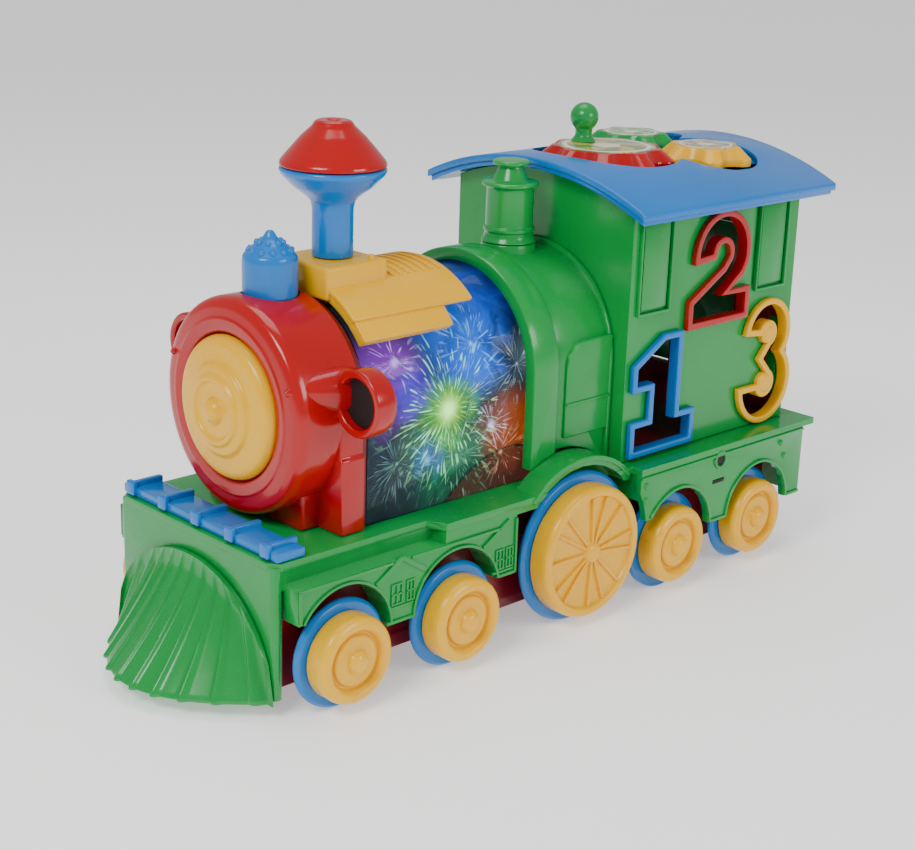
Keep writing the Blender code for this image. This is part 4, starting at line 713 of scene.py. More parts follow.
def gear_print(name, centre, radius, ground, accent, other):
    """A round printed label: a ring, a swirl of bands and a scatter of dots."""
    made = bpy.data.materials.new(name)
    made.use_nodes = True
    tree = made.node_tree
    shader = tree.nodes["Principled BSDF"]
    place = tree.nodes.new("ShaderNodeTexCoord").outputs["Object"]
    centred = add_node(tree, "ShaderNodeMapping")
    centred.inputs["Location"].default_value = (-centre.x - DATUM.x, -centre.y, 0)
    tree.links.new(place, centred.inputs["Vector"])
    apart = tree.nodes.new("ShaderNodeSeparateXYZ")
    tree.links.new(centred.outputs[0], apart.inputs[0])
    square = arithmetic(tree, "MULTIPLY", apart.outputs[0], apart.outputs[0])
    away = arithmetic(tree, "SQRT", arithmetic(
        tree, "MULTIPLY_ADD", apart.outputs[1], apart.outputs[1], square))
    turn = arithmetic(tree, "ARCTAN2", apart.outputs[1], apart.outputs[0])
    swirl = arithmetic(tree, "MULTIPLY_ADD", away, 260.0,
                       arithmetic(tree, "MULTIPLY", turn, 5.0))
    bands = eased(tree, arithmetic(tree, "SINE", swirl), -0.15, 0.15)
    painted = blended(tree, bands, (*ground, 1), (*accent, 1))
    dots = add_node(tree, "ShaderNodeTexVoronoi", Scale=330.0, Randomness=0.8)
    tree.links.new(centred.outputs[0], dots.inputs["Vector"])
    spots = eased(tree, dots.outputs["Distance"], 0.28, 0.36, 1.0, 0.0)
    painted = blended(tree, spots, painted, (*other, 1))
    ring = arithmetic(tree, "MULTIPLY",
                      eased(tree, away, radius * 0.80, radius * 0.83),
                      eased(tree, away, radius * 0.90, radius * 0.93, 1.0, 0.0))
    painted = blended(tree, ring, painted, (0.85, 0.85, 0.80, 1))
    heart = eased(tree, away, radius * 0.26, radius * 0.30, 1.0, 0.0)
    painted = blended(tree, heart, painted, (0.85, 0.80, 0.55, 1))
    tree.links.new(painted, shader.inputs["Base Color"])
    shader.inputs["Roughness"].default_value = 0.22
    shader.inputs["Coat Weight"].default_value = 0.5
    return made


def make_finishes():
    """Every finish of the engine, by its short name."""
    tone = colours()
    made = {
        "green": moulding("green moulding", tone.green, scaled_colour(tone.green, 0.82)),
        "blue": moulding("blue moulding", tone.blue, scaled_colour(tone.blue, 0.80)),
        "red": moulding("red moulding", tone.red, scaled_colour(tone.red, 0.80), 0.16, 0.2),
        "yellow": moulding("yellow moulding", tone.yellow, (0.80, 0.36, 0.0), 0.24, 0.05),
        "dark_red": moulding("dark red moulding", tone.dark_red,
                             scaled_colour(tone.dark_red, 0.7), 0.30, 0.1),
        "black": moulding("black moulding", (0.015, 0.015, 0.017), (0.03, 0.03, 0.03), 0.42, 0.0),
        # Near-black painted shade, laid in the horn bores and the keyhole where their hollows fall
        # into shade.
        "hollow_shade": moulding("painted hollow shade", (0.010, 0.004, 0.004), (0.004, 0.002, 0.002), 0.6, 0.0),
        "circuit": moulding("circuit board", (0.010, 0.16, 0.06), (0.012, 0.10, 0.04), 0.45, 0.0,
                            0.8),
        "wrapper": moulding("cell wrapper", (0.03, 0.03, 0.035), (0.50, 0.30, 0.05), 0.30, 0.2,
                            0.9),
        "clear": clear_plastic(),
        "film": burst_film(),
        "steel": bright_steel(),
    }
    made["print_red"] = gear_print("red gear print", GEARS["red"], 0.0218,
                                   (0.55, 0.48, 0.08), (0.10, 0.26, 0.06), (0.55, 0.03, 0.02))
    made["print_yellow"] = gear_print("yellow gear print", GEARS["yellow"], 0.0133,
                                      (0.55, 0.52, 0.40), (0.45, 0.26, 0.08), (0.06, 0.07, 0.12))
    made["print_green"] = gear_print("green gear print", GEARS["green"], 0.0133,
                                     (0.40, 0.55, 0.30), (0.04, 0.34, 0.05), (0.60, 0.58, 0.10))
    return made


FINISHES = {}


# ------------------------------------------------------------------ shared sections
def hood(radius, foot, steps=48, turned_in=0.0):
    """A boiler section: a half round on straight sides."""
    return [(radius, foot)] + arc((0, BOILER_Z), radius, 0, 180, steps) + [(-radius, foot)]


def hood_shell(outer, inner, foot, rear, front, edge=0.0004, steps=48):
    ring = hood(outer, foot, steps) + hood(inner, foot, steps)[::-1]
    return slab(ring, "YZ", rear, front, edge)


DECK_TOP = 0.0625
DECK_REST = DECK_TOP + 0.0003
ROOF_HALF = 0.0653
ROOF_EDGE = 0.1743
ROOF_RISE = 0.0148
ROOF_RADIUS = (ROOF_HALF ** 2 + ROOF_RISE ** 2) / (2 * ROOF_RISE)


def roof_level(y, drop=0.0):
    """Height of the roof's top at a distance from the middle, or of a level below it."""
    return ROOF_EDGE + ROOF_RISE - ROOF_RADIUS + math.sqrt((ROOF_RADIUS - drop) ** 2 - y ** 2)


def digit_one():
    return [
        (0.0340, 0.0660), (0.0735, 0.0660), (0.0735, 0.0790), (0.0625, 0.0790),
        (0.0625, 0.1160), (0.0520, 0.1160), (0.0340, 0.1050), (0.0340, 0.0955),
        (0.0455, 0.0955), (0.0455, 0.0790), (0.0340, 0.0790),
    ]


def digit_two():
    centre = (0.0878, 0.1485)
    outer = arc(centre, 0.0175, 185, -38, 30)
    inner = arc(centre, 0.0062, -40, 185, 18)
    return [
        (0.0680, 0.1182), (0.1068, 0.1182), (0.1068, 0.1300), (0.0905, 0.1300),
    ] + outer[::-1] + inner[::-1][:-1] + [(0.0895, 0.1410), (0.0680, 0.1285)]


def digit_three():
    upper, lower = (0.1255, 0.1060), (0.1255, 0.0825)
    top_radius, low_radius = 0.0150, 0.0175
    apart = upper[1] - lower[1]
    drop = (apart ** 2 + top_radius ** 2 - low_radius ** 2) / (2 * apart)
    top_end = -math.degrees(math.asin(drop / top_radius))
    low_start = math.degrees(math.asin((apart - drop) / low_radius))
    outer_top = arc(upper, top_radius, 170, top_end, 24)
    outer_low = arc(lower, low_radius, low_start, -175, 28)[1:]
    inner_low = arc(lower, 0.0056, -165, 60, 18)
    inner_top = arc(upper, 0.0052, -70, 165, 16)
    return outer_top + outer_low + inner_low + [(0.1215, 0.0945)] + inner_top


DIGITS = (("1", digit_one, "blue"), ("2", digit_two, "red"), ("3", digit_three, "yellow"))


# ------------------------------------------------------------------ chassis
def arch_band(centre, inner, outer, start, end, low, high, edge=0.0003):
    """A raised band along an arch of the side."""
    ring = arc(centre, outer, start, end, 40) + arc(centre, inner, end, start, 40)
    return slab(ring, "XZ", low, high, edge)


def bar(start, end, width, low, high, edge=0.0003):
    """A straight raised bar on the side, between two (x, z) points."""
    start, end = Vector(start), Vector(end)
    along = (end - start).normalized()
    across = Vector((-along.y, along.x)) * width / 2
    outline = [tuple(start + across), tuple(start - across), tuple(end - across),
               tuple(end + across)]
    return slab(outline, "XZ", low, high, edge)


def side_trim():
    """Mouldings of one side: beads, arch rims and gables with small panes."""
    proud = sizes().trim_proud
    face = 0.0582
    low, high = face - 0.0006, face + proud
    fine = face + proud * 0.7
    parts = [
        bar((0.1513, 0.0533), (0.1060, 0.0533), 0.0013, low, high),
        bar((0.0962, 0.0533), (0.0480, 0.0533), 0.0013, low, high),
        bar((0.1507, 0.0535), (0.1507, 0.0402), 0.0012, low, high),
        bar((0.1090, 0.0286), (0.0942, 0.0286), 0.0014, low, high),
        bar((0.0488, 0.0327), (0.0388, 0.0327), 0.0014, low, high),
        bar((0.0391, 0.0560), (0.0391, 0.0322), 0.0012, low, high),
        arch_band((AXLES[0][0], 0.0278), 0.0226, 0.0238, 31, 177, low, high),
        arch_band((AXLES[1][0], 0.0278), 0.0226, 0.0238, 3, 169, low, high),
    ]
    # Gables: a pair of sloping roofs with panes and a sill under each.
    for peak, foot_front, foot_rear, sill in (
        ((0.1012, 0.0545), (0.1142, 0.0462), (0.0886, 0.0462), (0.1075, 0.0950)),
        ((0.0430, 0.0560), (0.0575, 0.0470), None, (0.0520, 0.0400)),
    ):
        parts.append(bar(peak, foot_front, 0.0021, low, high))
        if foot_rear:
            parts.append(bar(peak, foot_rear, 0.0021, low, high))
        parts.append(bar((sill[0], 0.0345), (sill[1], 0.0345), 0.0011, low, fine))
    for pane, width in ((0.1035, 0.0052), (0.0965, 0.0036), (0.0480, 0.0040), (0.0425, 0.0036)):
        left, right = pane + width / 2, pane - width / 2
        for x in (left, right, pane):
            parts.append(bar((x, 0.0358), (x, 0.0440), 0.0008, low, fine, 0.0002))
        for z in (0.0358, 0.0399, 0.0440):
            parts.append(bar((left + 0.0004, z), (right - 0.0004, z), 0.0008, low, fine, 0.0002))
    # The fender's rim.
    big = (AXLES[2][0], AXLES[2][1])
    parts.append(arch_band(big, 0.0384, 0.0405, 42, 138, low, face + proud * 1.1))
    return gathered(*parts)


def skirt_trim():
    """Rims round the skirt's arches, its beads, rivets and the keyhole's ring."""
    proud = sizes().trim_proud
    face = 0.0643
    low, high = face - 0.0006, face + proud
    parts = [
        arch_band((AXLES[3][0], 0.0263), 0.0220, 0.0233, 33, 177, low, high),
        arch_band((AXLES[4][0], 0.0263), 0.0220, 0.0233, 3, 177, low, high),
        bar((-0.0310, 0.0583), (-0.1470, 0.0583), 0.0012, low, face + proud * 0.8),
        bar((-0.0916, 0.0276), (-0.0802, 0.0276), 0.0014, low, high),
        bar((-0.1370, 0.0276), (-0.1466, 0.0276), 0.0014, low, high),
    ]
    ring = lathe(rounded([(0.0029, 0.0), (0.0029, 0.0013), (0.0041, 0.0013), (0.0043, 0.0)],
                         0.0004) + [(0.0029, 0.0)],
                 "Y", (-0.0848, face - 0.0003, 0.0560), 40)
    parts.append(ring)
    for x, z in ((-0.0345, 0.0545), (-0.0345, 0.0478), (-0.1302, 0.0545), (-0.1333, 0.0478)):
        cap = lathe(rounded([(0, 0.0011), (0.0010, 0.0009), (0.0016, 0.0), (0.0016, -0.0006)],
                            0.0004) + [(0, -0.0006)], "Y", (x, face, z), 28)
        parts.append(cap)
    return gathered(*parts)


def make_chassis():
    green = FINISHES["green"]
    body = finish_piece("chassis_body", node_copy("chassis"), green, replaces=["chassis"])
    round_edges(body, sizes().edge)
    finish_piece("side_mouldings", mirrored_too(side_trim()), green)
    finish_piece("skirt_mouldings", mirrored_too(skirt_trim()), green)
    # A near-black plug fills the keyhole up to the skirt's face: painted shade standing in for the
    # hollow's shade.
    depth = gathered(rod((-0.0848, 0.0600, 0.0560), 0.0047, 0.0030, "Y", 32),
                     block((-0.0888, 0.0600, 0.0450), (-0.0808, 0.0646, 0.0468), 0.0004))
    finish_piece("keyhole_painted_shade", mirrored_too(depth), FINISHES["hollow_shade"])


def plough_surface(share, drop, ribs, depth=0.0017):
    """A point of the plough's skin: share across from -1 to 1, drop from its top to its foot."""
    half, face, reach, top, foot_z = 0.0506, 0.1570, 0.0345, 0.0525, 0.0076
    pull = 0.66 * share + 0.34 * share ** 15
    top_z = 0.0075 + (top - 0.0075) * math.sqrt(max(1 - pull ** 2, 0))
    foot = face + reach * (1 - share ** 2)
    down = min(drop, 1)
    y = half * (pull + (share - pull) * down)
    z = top_z + (foot_z - top_z) * down
    ridge = (0.5 + 0.5 * math.cos(math.pi * (share * ribs - 1))) ** 7
    start = face + 0.0006 + depth
    x = start + (foot - start) * down ** 1.35
    x -= depth * (1 - ridge) * min(drop * 6, 1)
    if drop > 1:
        roll = (drop - 1) / 0.12 * math.pi / 2
        x -= 0.0022 * (1 - math.cos(roll))
        z -= 0.0016 * math.sin(roll)
    return Vector((max(x, face + 0.0006), y, z))


def make_cowcatcher():
    ribs = sizes().plough_ribs
    bm = bmesh.new()
    bmesh.ops.create_grid(bm, x_segments=ribs * 20, y_segments=34, size=1)
    for vert in bm.verts:
        vert.co = plough_surface(vert.co.x, (1 - vert.co.y) / 2 * 1.12, ribs)
    border = [edge for edge in bm.edges if edge.is_boundary]
    walls = bmesh.ops.extrude_edge_only(bm, edges=border)["geom"]
    for vert in [item for item in walls if isinstance(item, bmesh.types.BMVert)]:
        vert.co.x = 0.1573
    rim = [edge for edge in bm.edges if edge.is_boundary]
    bmesh.ops.edgeloop_fill(bm, edges=rim)
    finish_piece("cowcatcher_body", bm, FINISHES["green"], replaces=["cowcatcher"], angle=50)


def make_step():
    low = DECK_REST
    parts = [block((0.1418, -0.0500, low), (0.1550, 0.0500, low + 0.0038), 0.0006)]
    for i in range(5):
        y = -0.0436 + 0.0872 * i / 4
        parts.append(block((0.1412, y - 0.0013, low + 0.0006),
                           (0.1564, y + 0.0013, low + 0.0060), 0.0006, 3))
        parts.append(block((0.1540, y - 0.0026, low + 0.0006),
                           (0.1566, y + 0.0026, low + 0.0064), 0.0007, 3))
    finish_piece("buffer_step_body", gathered(*parts), FINISHES["blue"], replaces=["buffer_step"])


# ------------------------------------------------------------------ wheels
TREAD_BACK = 0.0572


def small_wheel_profile(tread):
    face = [
        (0, 0.0122), (0.0018, 0.0120), (0.0034, 0.0112), (0.0045, 0.0098), (0.0049, 0.0084),
        (0.0058, 0.0082), (0.0094, 0.0084), (0.0102, 0.0080), (0.0105, 0.0066),
        (0.0116, 0.0066), (0.0122, 0.0086), (0.0134, 0.0099), (0.0152, 0.0099),
        (tread - 0.0006, 0.0088), (tread, 0.0070), (tread, 0.0), (0, 0.0),
    ]
    return rounded(face, 0.0006, 3)


def big_wheel_profile(tread):
    face = [
        (0, 0.0108), (0.0024, 0.0106), (0.0040, 0.0098), (0.0046, 0.0086), (0.0054, 0.0080),
        (tread * 0.84, 0.0076), (tread * 0.865, 0.0096), (tread * 0.94, 0.0099),
        (tread - 0.0005, 0.0090), (tread, 0.0074), (tread, 0.0), (0, 0.0),
    ]
    return rounded(face, 0.0007, 3)


def flange_profile(flange):
    outer, inner = TREAD_BACK - 0.0003, TREAD_BACK - 0.0033
    half = [(0.0023, outer), (flange - 0.0014, outer), (flange, outer - 0.0013),
            (flange, inner + 0.0006), (flange - 0.0008, inner), (0.0062, inner),
            (0.0042, inner - 0.0018)]
    return rounded(half + [(r, -h) for r, h in reversed(half)], 0.0004, 2) + [(0.0023, outer)]


def spokes(tread, face):
    """Thin raised spokes at slightly uneven angles, as cut by hand into the mould."""
    count = sizes().spoke_count
    parts = []
    for i in range(count):
        lean = 0.10 * math.sin(i * 2.4)
        angle = 2 * math.pi * i / count + lean
        spoke = block((0.0040, face - 0.0030, -0.00065), (tread * 0.85, face - 0.0007, 0.00065),
                      0.0004, 2)
        bmesh.ops.transform(spoke, matrix=Matrix.Rotation(angle, 4, "Y"), verts=spoke.verts)
        parts.append(spoke)
    return gathered(*parts)


def make_wheels():
    for index, (x, z) in enumerate(AXLES):
        number = index + 1
        body = f"wheelset_{number}"
        big = index == 2
        tread = 0.0289 if big else 0.0176
        flange = 0.0331 if big else 0.0220
        profile = big_wheel_profile(tread) if big else small_wheel_profile(tread)
        wheel = lathe([(r, h + TREAD_BACK) for r, h in profile], "Y")
        if big:
            wheel = gathered(wheel, spokes(tread, TREAD_BACK + 0.0098))
        far = copied(wheel, Matrix.Diagonal((1, -1, 1, 1)))
        for side, shape in (("left", wheel), ("right", far)):
            bmesh.ops.translate(shape, vec=(x, 0, z), verts=shape.verts)
            finish_piece(f"wheel_{number}_{side}_body", shape, FINISHES["yellow"], body,
                         [f"wheel_{number}_{side}"])
        sleeve = lathe(flange_profile(flange), "Y", (x, 0, z))
        if number == 4:
            dress_node(f"flanged_sleeve_{number}", FINISHES["blue"])
            rims = []
            outer, inner = TREAD_BACK - 0.0003, TREAD_BACK - 0.0033
            sleeve.free()
            for sign in (1, -1):
                ring = lathe(rounded([
                    (flange - 0.0010, sign * outer), (flange + 0.0001, sign * outer),
                    (flange + 0.0001, sign * inner), (flange - 0.0010, sign * inner),
                ], 0.0005, 2) + [(flange - 0.0010, sign * outer)], "Y", (x, 0, z))
                rims.append(ring)
            finish_piece(f"flange_rims_{number}", gathered(*rims), FINISHES["blue"], body)
        else:
            finish_piece(f"flanged_sleeve_{number}_body", sleeve, FINISHES["blue"], body,
                         [f"flanged_sleeve_{number}"])
        dress_node(f"axle_{number}", FINISHES["steel"])


# ------------------------------------------------------------------ smokebox
def horn_shape():
    """One horn: a forward-facing tube."""
    y, z = 0.0528, 0.1180
    tube = lathe(rounded([
        (0, 0.1115), (0.0060, 0.1108), (0.0108, 0.1100), (0.0126, 0.1120), (0.0130, 0.1150),
        (0.0130, 0.1205), (0.0124, 0.1211), (0.0106, 0.1211), (0.0098, 0.1205),
        (0.0096, 0.1150), (0.0070, 0.1138), (0, 0.1136),
    ], 0.0007, 3), "X", (0, y, z), 72)
    return tube


def fairing_shape():
    """A teardrop blister that runs forward from the horn's inboard edge."""
    bm = bmesh.new()
    bmesh.ops.create_uvsphere(bm, u_segments=48, v_segments=32, radius=1)
    for vert in bm.verts:
        nose = max((vert.co.x + 1) / 2, 0)
        taper = 1 - 0.72 * nose ** 1.4
        vert.co = Vector((0.1215 + vert.co.x * 0.0195,
                          0.0400 + vert.co.y * 0.0105 * taper - 0.0040 * nose,
                          0.1175 + vert.co.z * 0.0118 * taper + 0.0045 * nose))
    return bm


def make_smokebox():
    red = FINISHES["red"]
    z = BOILER_Z
    drum = rounded([
        (0, 0.1375), (0.0290, 0.1375), (0.0294, 0.1396), (0.0345, 0.1402), (0.0352, 0.1396),
        (0.0392, 0.1392), (0.0418, 0.1380), (0.0429, 0.1352), (0.0429, 0.1085), (0.0424, 0.1080), (0.0380, 0.1080), (0.0380, 0.1100),
        (0, 0.1100),
    ], 0.0016, 4)
    shell = lathe(drum, "X", (0, 0, z), 144)
    hole = rod((0.1195, 0, z + 0.0300), 0.0300, 0.0114, "Z", 64)
    shell = combined(shell, hole, "DIFFERENCE")
    low = DECK_REST
    leg = [
        (0.0440, low), (0.0440, 0.0928), (0.0428, 0.0936), (0.0428, 0.1180), (-0.0428, 0.1180),
        (-0.0428, 0.0936), (-0.0440, 0.0928), (-0.0440, low),
    ]
    pillar = slab(leg, "YZ", 0.1080, 0.1195, 0.0009, 3)
    chest = block((0.1180, -0.0300, low), (0.1280, 0.0300, 0.1000), 0.0010, 3)
    finish_piece("smokebox_body", gathered(shell, pillar, chest), red, replaces=["smokebox"])
    finish_piece("horns", mirrored_too(gathered(horn_shape(), fairing_shape())), red)
    # A near-black disc at the bottom of each horn's bore: painted shade for the hollow mouth.
    hollow_shade = rod((0.1139, 0.0528, 0.1180), 0.0036, 0.0096, "X", 64)
    finish_piece("horn_bore_painted_shade", mirrored_too(hollow_shade), FINISHES["hollow_shade"])

    door = rounded([
        (0, 0.1500), (0.0022, 0.1497), (0.0040, 0.1485), (0.0050, 0.1468), (0.0054, 0.1460),
        (0.0108, 0.1462), (0.0118, 0.1474), (0.0134, 0.1474), (0.0144, 0.1458), (0.0176, 0.1456),
        (0.0186, 0.1436), (0.0252, 0.1430), (0.0272, 0.1420), (0.0284, 0.1398), (0.0284, 0.1378),
        (0, 0.1378),
    ], 0.0010, 4)
    finish_piece("smokebox_door_body", lathe(door, "X", (0, 0, z), 144), FINISHES["yellow"],
                 replaces=["smokebox_door"])

    button = rounded([
        (0, 0.1742), (0.0014, 0.1738), (0.0024, 0.1720), (0.0034, 0.1708), (0.0062, 0.1688),
        (0.0088, 0.1662), (0.0104, 0.1648), (0.0108, 0.1630), (0.0108, 0.1486), (0, 0.1486),
    ], 0.0008, 3)
    cone = lathe(button, "Z", (0.1195, 0, 0), 72)
    ribs = []
    for reach, height, count in ((0.0082, 0.1664, 12), (0.0050, 0.1694, 8)):
        for i in range(count):
            bump = bmesh.new()
            turn = Matrix.Rotation(math.tau * i / count, 4, "Z")
            spot = Matrix.Translation((0.1195, 0, 0)) @ turn @ Matrix.Translation(
                (reach, 0, height))
            bmesh.ops.create_icosphere(bump, subdivisions=2, radius=0.0013, matrix=spot)
            ribs.append(bump)
    finish_piece("front_dome_button_body", gathered(cone, *ribs), FINISHES["blue"],
                 "dome_button", ["front_dome_button"])


# ------------------------------------------------------------------ chimney and saddle
def make_saddle():
    z = BOILER_Z
    outer, under = 0.0475, 0.0452

    def sector(radius, half, steps=40):
        return arc((0, z), radius, 90 - half, 90 + half, steps)

    top = slab(sector(outer, 42) + sector(under, 42)[::-1], "YZ", 0.0420, 0.1040, 0.0007, 3)
    apron = slab(sector(0.0463, 53) + sector(0.0415, 53)[::-1], "YZ", 0.0570, 0.1030, 0.0006, 3)
    seat = block((0.0740, -0.0165, 0.1470), (0.1050, 0.0165, 0.1600), 0.0014, 4)
    socket = rod((0.0888, 0, 0.1540), 0.0100, 0.0065, "Z", 64)
    seat = combined(seat, socket, "DIFFERENCE")
    ribs = []
    for i in range(sizes().saddle_ribs):
        x = 0.0450 + 0.0041 * i
        ribs.append(slab(sector(outer + 0.0007, 19, 16) + sector(outer - 0.0010, 19, 16)[::-1],
                         "YZ", x, x + 0.0013, 0.0003))
    dot = lathe(rounded([(0, 0.1618), (0.0012, 0.1616), (0.0016, 0.1598)], 0.0004) + [(0, 0.1590)],
                "Z", (0.0790, 0.0120, 0), 24)
    finish_piece("saddle_body", gathered(top, apron, seat, dot, *ribs), FINISHES["yellow"],
                 replaces=["saddle"])


def make_chimney():
    funnel = rounded([
        (0, 0.1905), (0.0150, 0.1910), (0.0184, 0.1952), (0.0204, 0.1955), (0.0212, 0.1945),
        (0.0206, 0.1928), (0.0160, 0.1880), (0.0108, 0.1842), (0.0088, 0.1820), (0.0082, 0.1790),
        (0.0082, 0.1603), (0.0062, 0.1603), (0.0062, 0.1546), (0, 0.1546),
    ], 0.0012, 4)
    finish_piece("chimney_funnel_body", lathe(funnel, "Z", (0.0888, 0, 0)), FINISHES["blue"],
                 replaces=["chimney_funnel"])
    cap = rounded([
        (0, 0.2122), (0.0018, 0.2122), (0.0026, 0.2132), (0.0060, 0.2134), (0.0073, 0.2128),
        (0.0084, 0.2110), (0.0124, 0.2074), (0.0180, 0.2010), (0.0208, 0.1976), (0.0211, 0.1962),
        (0.0206, 0.1958), (0.0174, 0.1958), (0.0150, 0.1930), (0, 0.1930),
    ], 0.0010, 4)
    finish_piece("chimney_cap_body", lathe(cap, "Z", (0.0888, 0, 0)), FINISHES["red"],
                 replaces=["chimney_cap"])


# ------------------------------------------------------------------ boiler
def make_boiler():
    green = FINISHES["green"]
    window = hood_shell(0.0410, 0.0395, DECK_REST, 0.0060, 0.1045, 0.0002, 72)
    finish_piece("boiler_window_body", window, FINISHES["clear"], replaces=["boiler_window"])
    film = hood_shell(0.0392, 0.0378, DECK_REST, 0.0060, 0.1045, 0.0002, 72)
    finish_piece("light_film", film, FINISHES["film"], replaces=["light_screen"])
    gap_ring = hood_shell(0.0405, 0.0396, DECK_REST, 0.1046, 0.1079, 0.0, 48)
    finish_piece("boiler_gasket", gap_ring, FINISHES["dark_red"])

    inner = 0.0413
    hoods = []
    for radius, rear, front, edge in (
        (0.0445, -0.0294, 0.0070, 0.0004), (0.0470, 0.0050, 0.0200, 0.0012),
        (0.0462, -0.0294, -0.0268, 0.0010),
    ):
        shell = hood_shell(radius, inner, DECK_REST, rear, front, edge)
        for way in (1, -1):
            room = rod((0, way * 0.0530 - 0.0150, AXLES[2][1]), 0.0300, 0.0408, "Y", 96)
            shell = combined(shell, room, "DIFFERENCE")
        hoods.append(shell)
    base = gathered(*hoods)
    panel = rounded([(-0.0285, 0.0790), (-0.0010, 0.0790), (-0.0010, 0.1190), (-0.0285, 0.1190)],
                    0.0110, 8, True)
    door = slab([(-0.0285, 0.0780)] + [(-0.0008, 0.0780)]
                + arc((-0.0120, 0.1080), 0.0112, 0, 90, 12) + [(-0.0285, 0.1192)],
                "XZ", inner, 0.0458, 0.0006, 3)
    ledge = block((-0.0285, inner, 0.0922), (-0.0010, 0.0464, 0.0934), 0.0003)
    finish_piece("boiler_rear_body", gathered(base, mirrored_too(gathered(door, ledge))), green,
                 replaces=["boiler_rear"])

    dome = rounded([
        (0, 0.1892), (0.0070, 0.1892), (0.0080, 0.1884), (0.0078, 0.1872), (0.0052, 0.1868),
        (0.0054, 0.1860), (0.0078, 0.1806), (0.0112, 0.1803), (0.0122, 0.1796), (0.0122, 0.1786),
        (0.0106, 0.1780), (0.0102, 0.1772), (0.0102, 0.1612), (0.0110, 0.1606), (0.0110, 0.1592),
        (0.0104, 0.1586), (0.0108, 0.1566), (0.0118, 0.1550), (0.0118, 0.1546), (0, 0.1546),
    ], 0.0007, 3)
    finish_piece("steam_dome_body", lathe(dome, "Z", (-0.0090, 0, 0)), green,
                 replaces=["steam_dome"])
    stub = lathe(rounded([(0, 0.1543), (0.0116, 0.1543), (0.0122, 0.1500)], 0.0006) + [(0, 0.1500)],
                 "Z", (-0.0090, 0, 0))
    finish_piece("steam_dome_seat", stub, green)
    dress_node("light_drum", FINISHES["clear"])
    dress_node("light_cradle", FINISHES["black"])


# ------------------------------------------------------------------ cab
def half_turned(bm):
    """A copy turned half round the cab's middle."""
    centre = Matrix.Translation((CAB_MIDDLE, 0, 0))
    return copied(bm, centre @ Matrix.Rotation(math.pi, 4, "Z") @ centre.inverted())


def digit_frame(shape):
    hole = [(-back, up) for back, up in shape()]
    rim, lining = offset_outline(hole, 0.0017), offset_outline(hole, -0.0012)
    face = slab(rim, "XZ", 0.0529, 0.0556, 0.0007, 3, lining)
    tube = slab(hole, "XZ", 0.0503, 0.0535, 0.0, 1, lining)
    ends = []
    if shape is digit_three:
        # The bowls' round ends, filled in as on a stencil.
        for z, radius in ((0.1060, 0.0046), (0.0825, 0.0050)):
            ends.append(lathe(rounded([(0, 0.0561), (radius * 0.7, 0.0560), (radius, 0.0550),
                                       (radius, 0.0529)], 0.0006) + [(0, 0.0529)],
                              "Y", (-0.1255, 0, z), 40))
    return gathered(face, tube, *ends)


# Front, rear and width of each side's two tall panels.
CAB_PANELS = ((-0.0340, -0.0552), (-0.1145, -0.1365))


def panel_frame(front, rear):
    """A tall raised panel: a thin moulding round a flat pad."""
    foot, top, band = 0.1272, 0.1705, 0.0011
    outline = [(rear, foot), (front, foot), (front, top), (rear, top)]
    inside = offset_outline(outline, -band)
    rim = slab(outline, "XZ", 0.0522, 0.0542, 0.0003, 2, inside)
    pad = slab(offset_outline(outline, -2.2 * band), "XZ", 0.0515, 0.0534, 0.0004)
    return gathered(rim, pad)


def make_cab():
    walls = finish_piece("cab_body", node_copy("cab"), FINISHES["green"], replaces=["cab"])
    round_edges(walls, sizes().edge)
    frames = mirrored_too(gathered(*[panel_frame(*ends) for ends in CAB_PANELS]))
    finish_piece("cab_panels", frames, FINISHES["green"])
    for digit, shape, finish in DIGITS:
        left = digit_frame(shape)
        right = half_turned(left)
        for side, piece in (("left", left), ("right", right)):
            finish_piece(f"number_{digit}_{side}_frame", piece, FINISHES[finish],
                         replaces=[f"number_{digit}_{side}"])
    dress_node("shape_bin", FINISHES["dark_red"])
    door = finish_piece("rear_door_body", node_copy("rear_door"), FINISHES["green"],
                        "rear_door", ["rear_door"])
    round_edges(door, sizes().edge)


# ------------------------------------------------------------------ roof and gears

def gear_lobes(name):
    return 9 if name == "red" else 6


def well_outline(margin, points=180):
    """The outline round all three gears' circles, each widened by a margin."""
    centre = Vector((GEARS["red"].x * 0.72 + GEARS["yellow"].x * 0.28 - 0.0075, 0))
    outline = []
    for i in range(points):
        angle = math.tau * i / points
        way = Vector((math.cos(angle), math.sin(angle)))
        reach = 0.0
        for name, where in GEARS.items():
            away = where.to_2d() - centre
            along = away.dot(way)
            radius = LOBE_PITCH * gear_lobes(name) + LOBE_DEPTH + margin
            room = radius ** 2 - (away.length_squared - along ** 2)
            if room > 0:
                reach = max(reach, along + math.sqrt(room))
        outline.append(tuple(centre + way * reach))
    return outline


def roof_band(top, bottom, half, steps=64):
    """A curved strip of the roof's section between two depths."""
    ys = [half - 2 * half * i / steps for i in range(steps + 1)]
    upper = [(y, roof_level(y, top)) for y in ys]
    lower = [(y, roof_level(y, bottom)) for y in reversed(ys)]
    return upper + lower


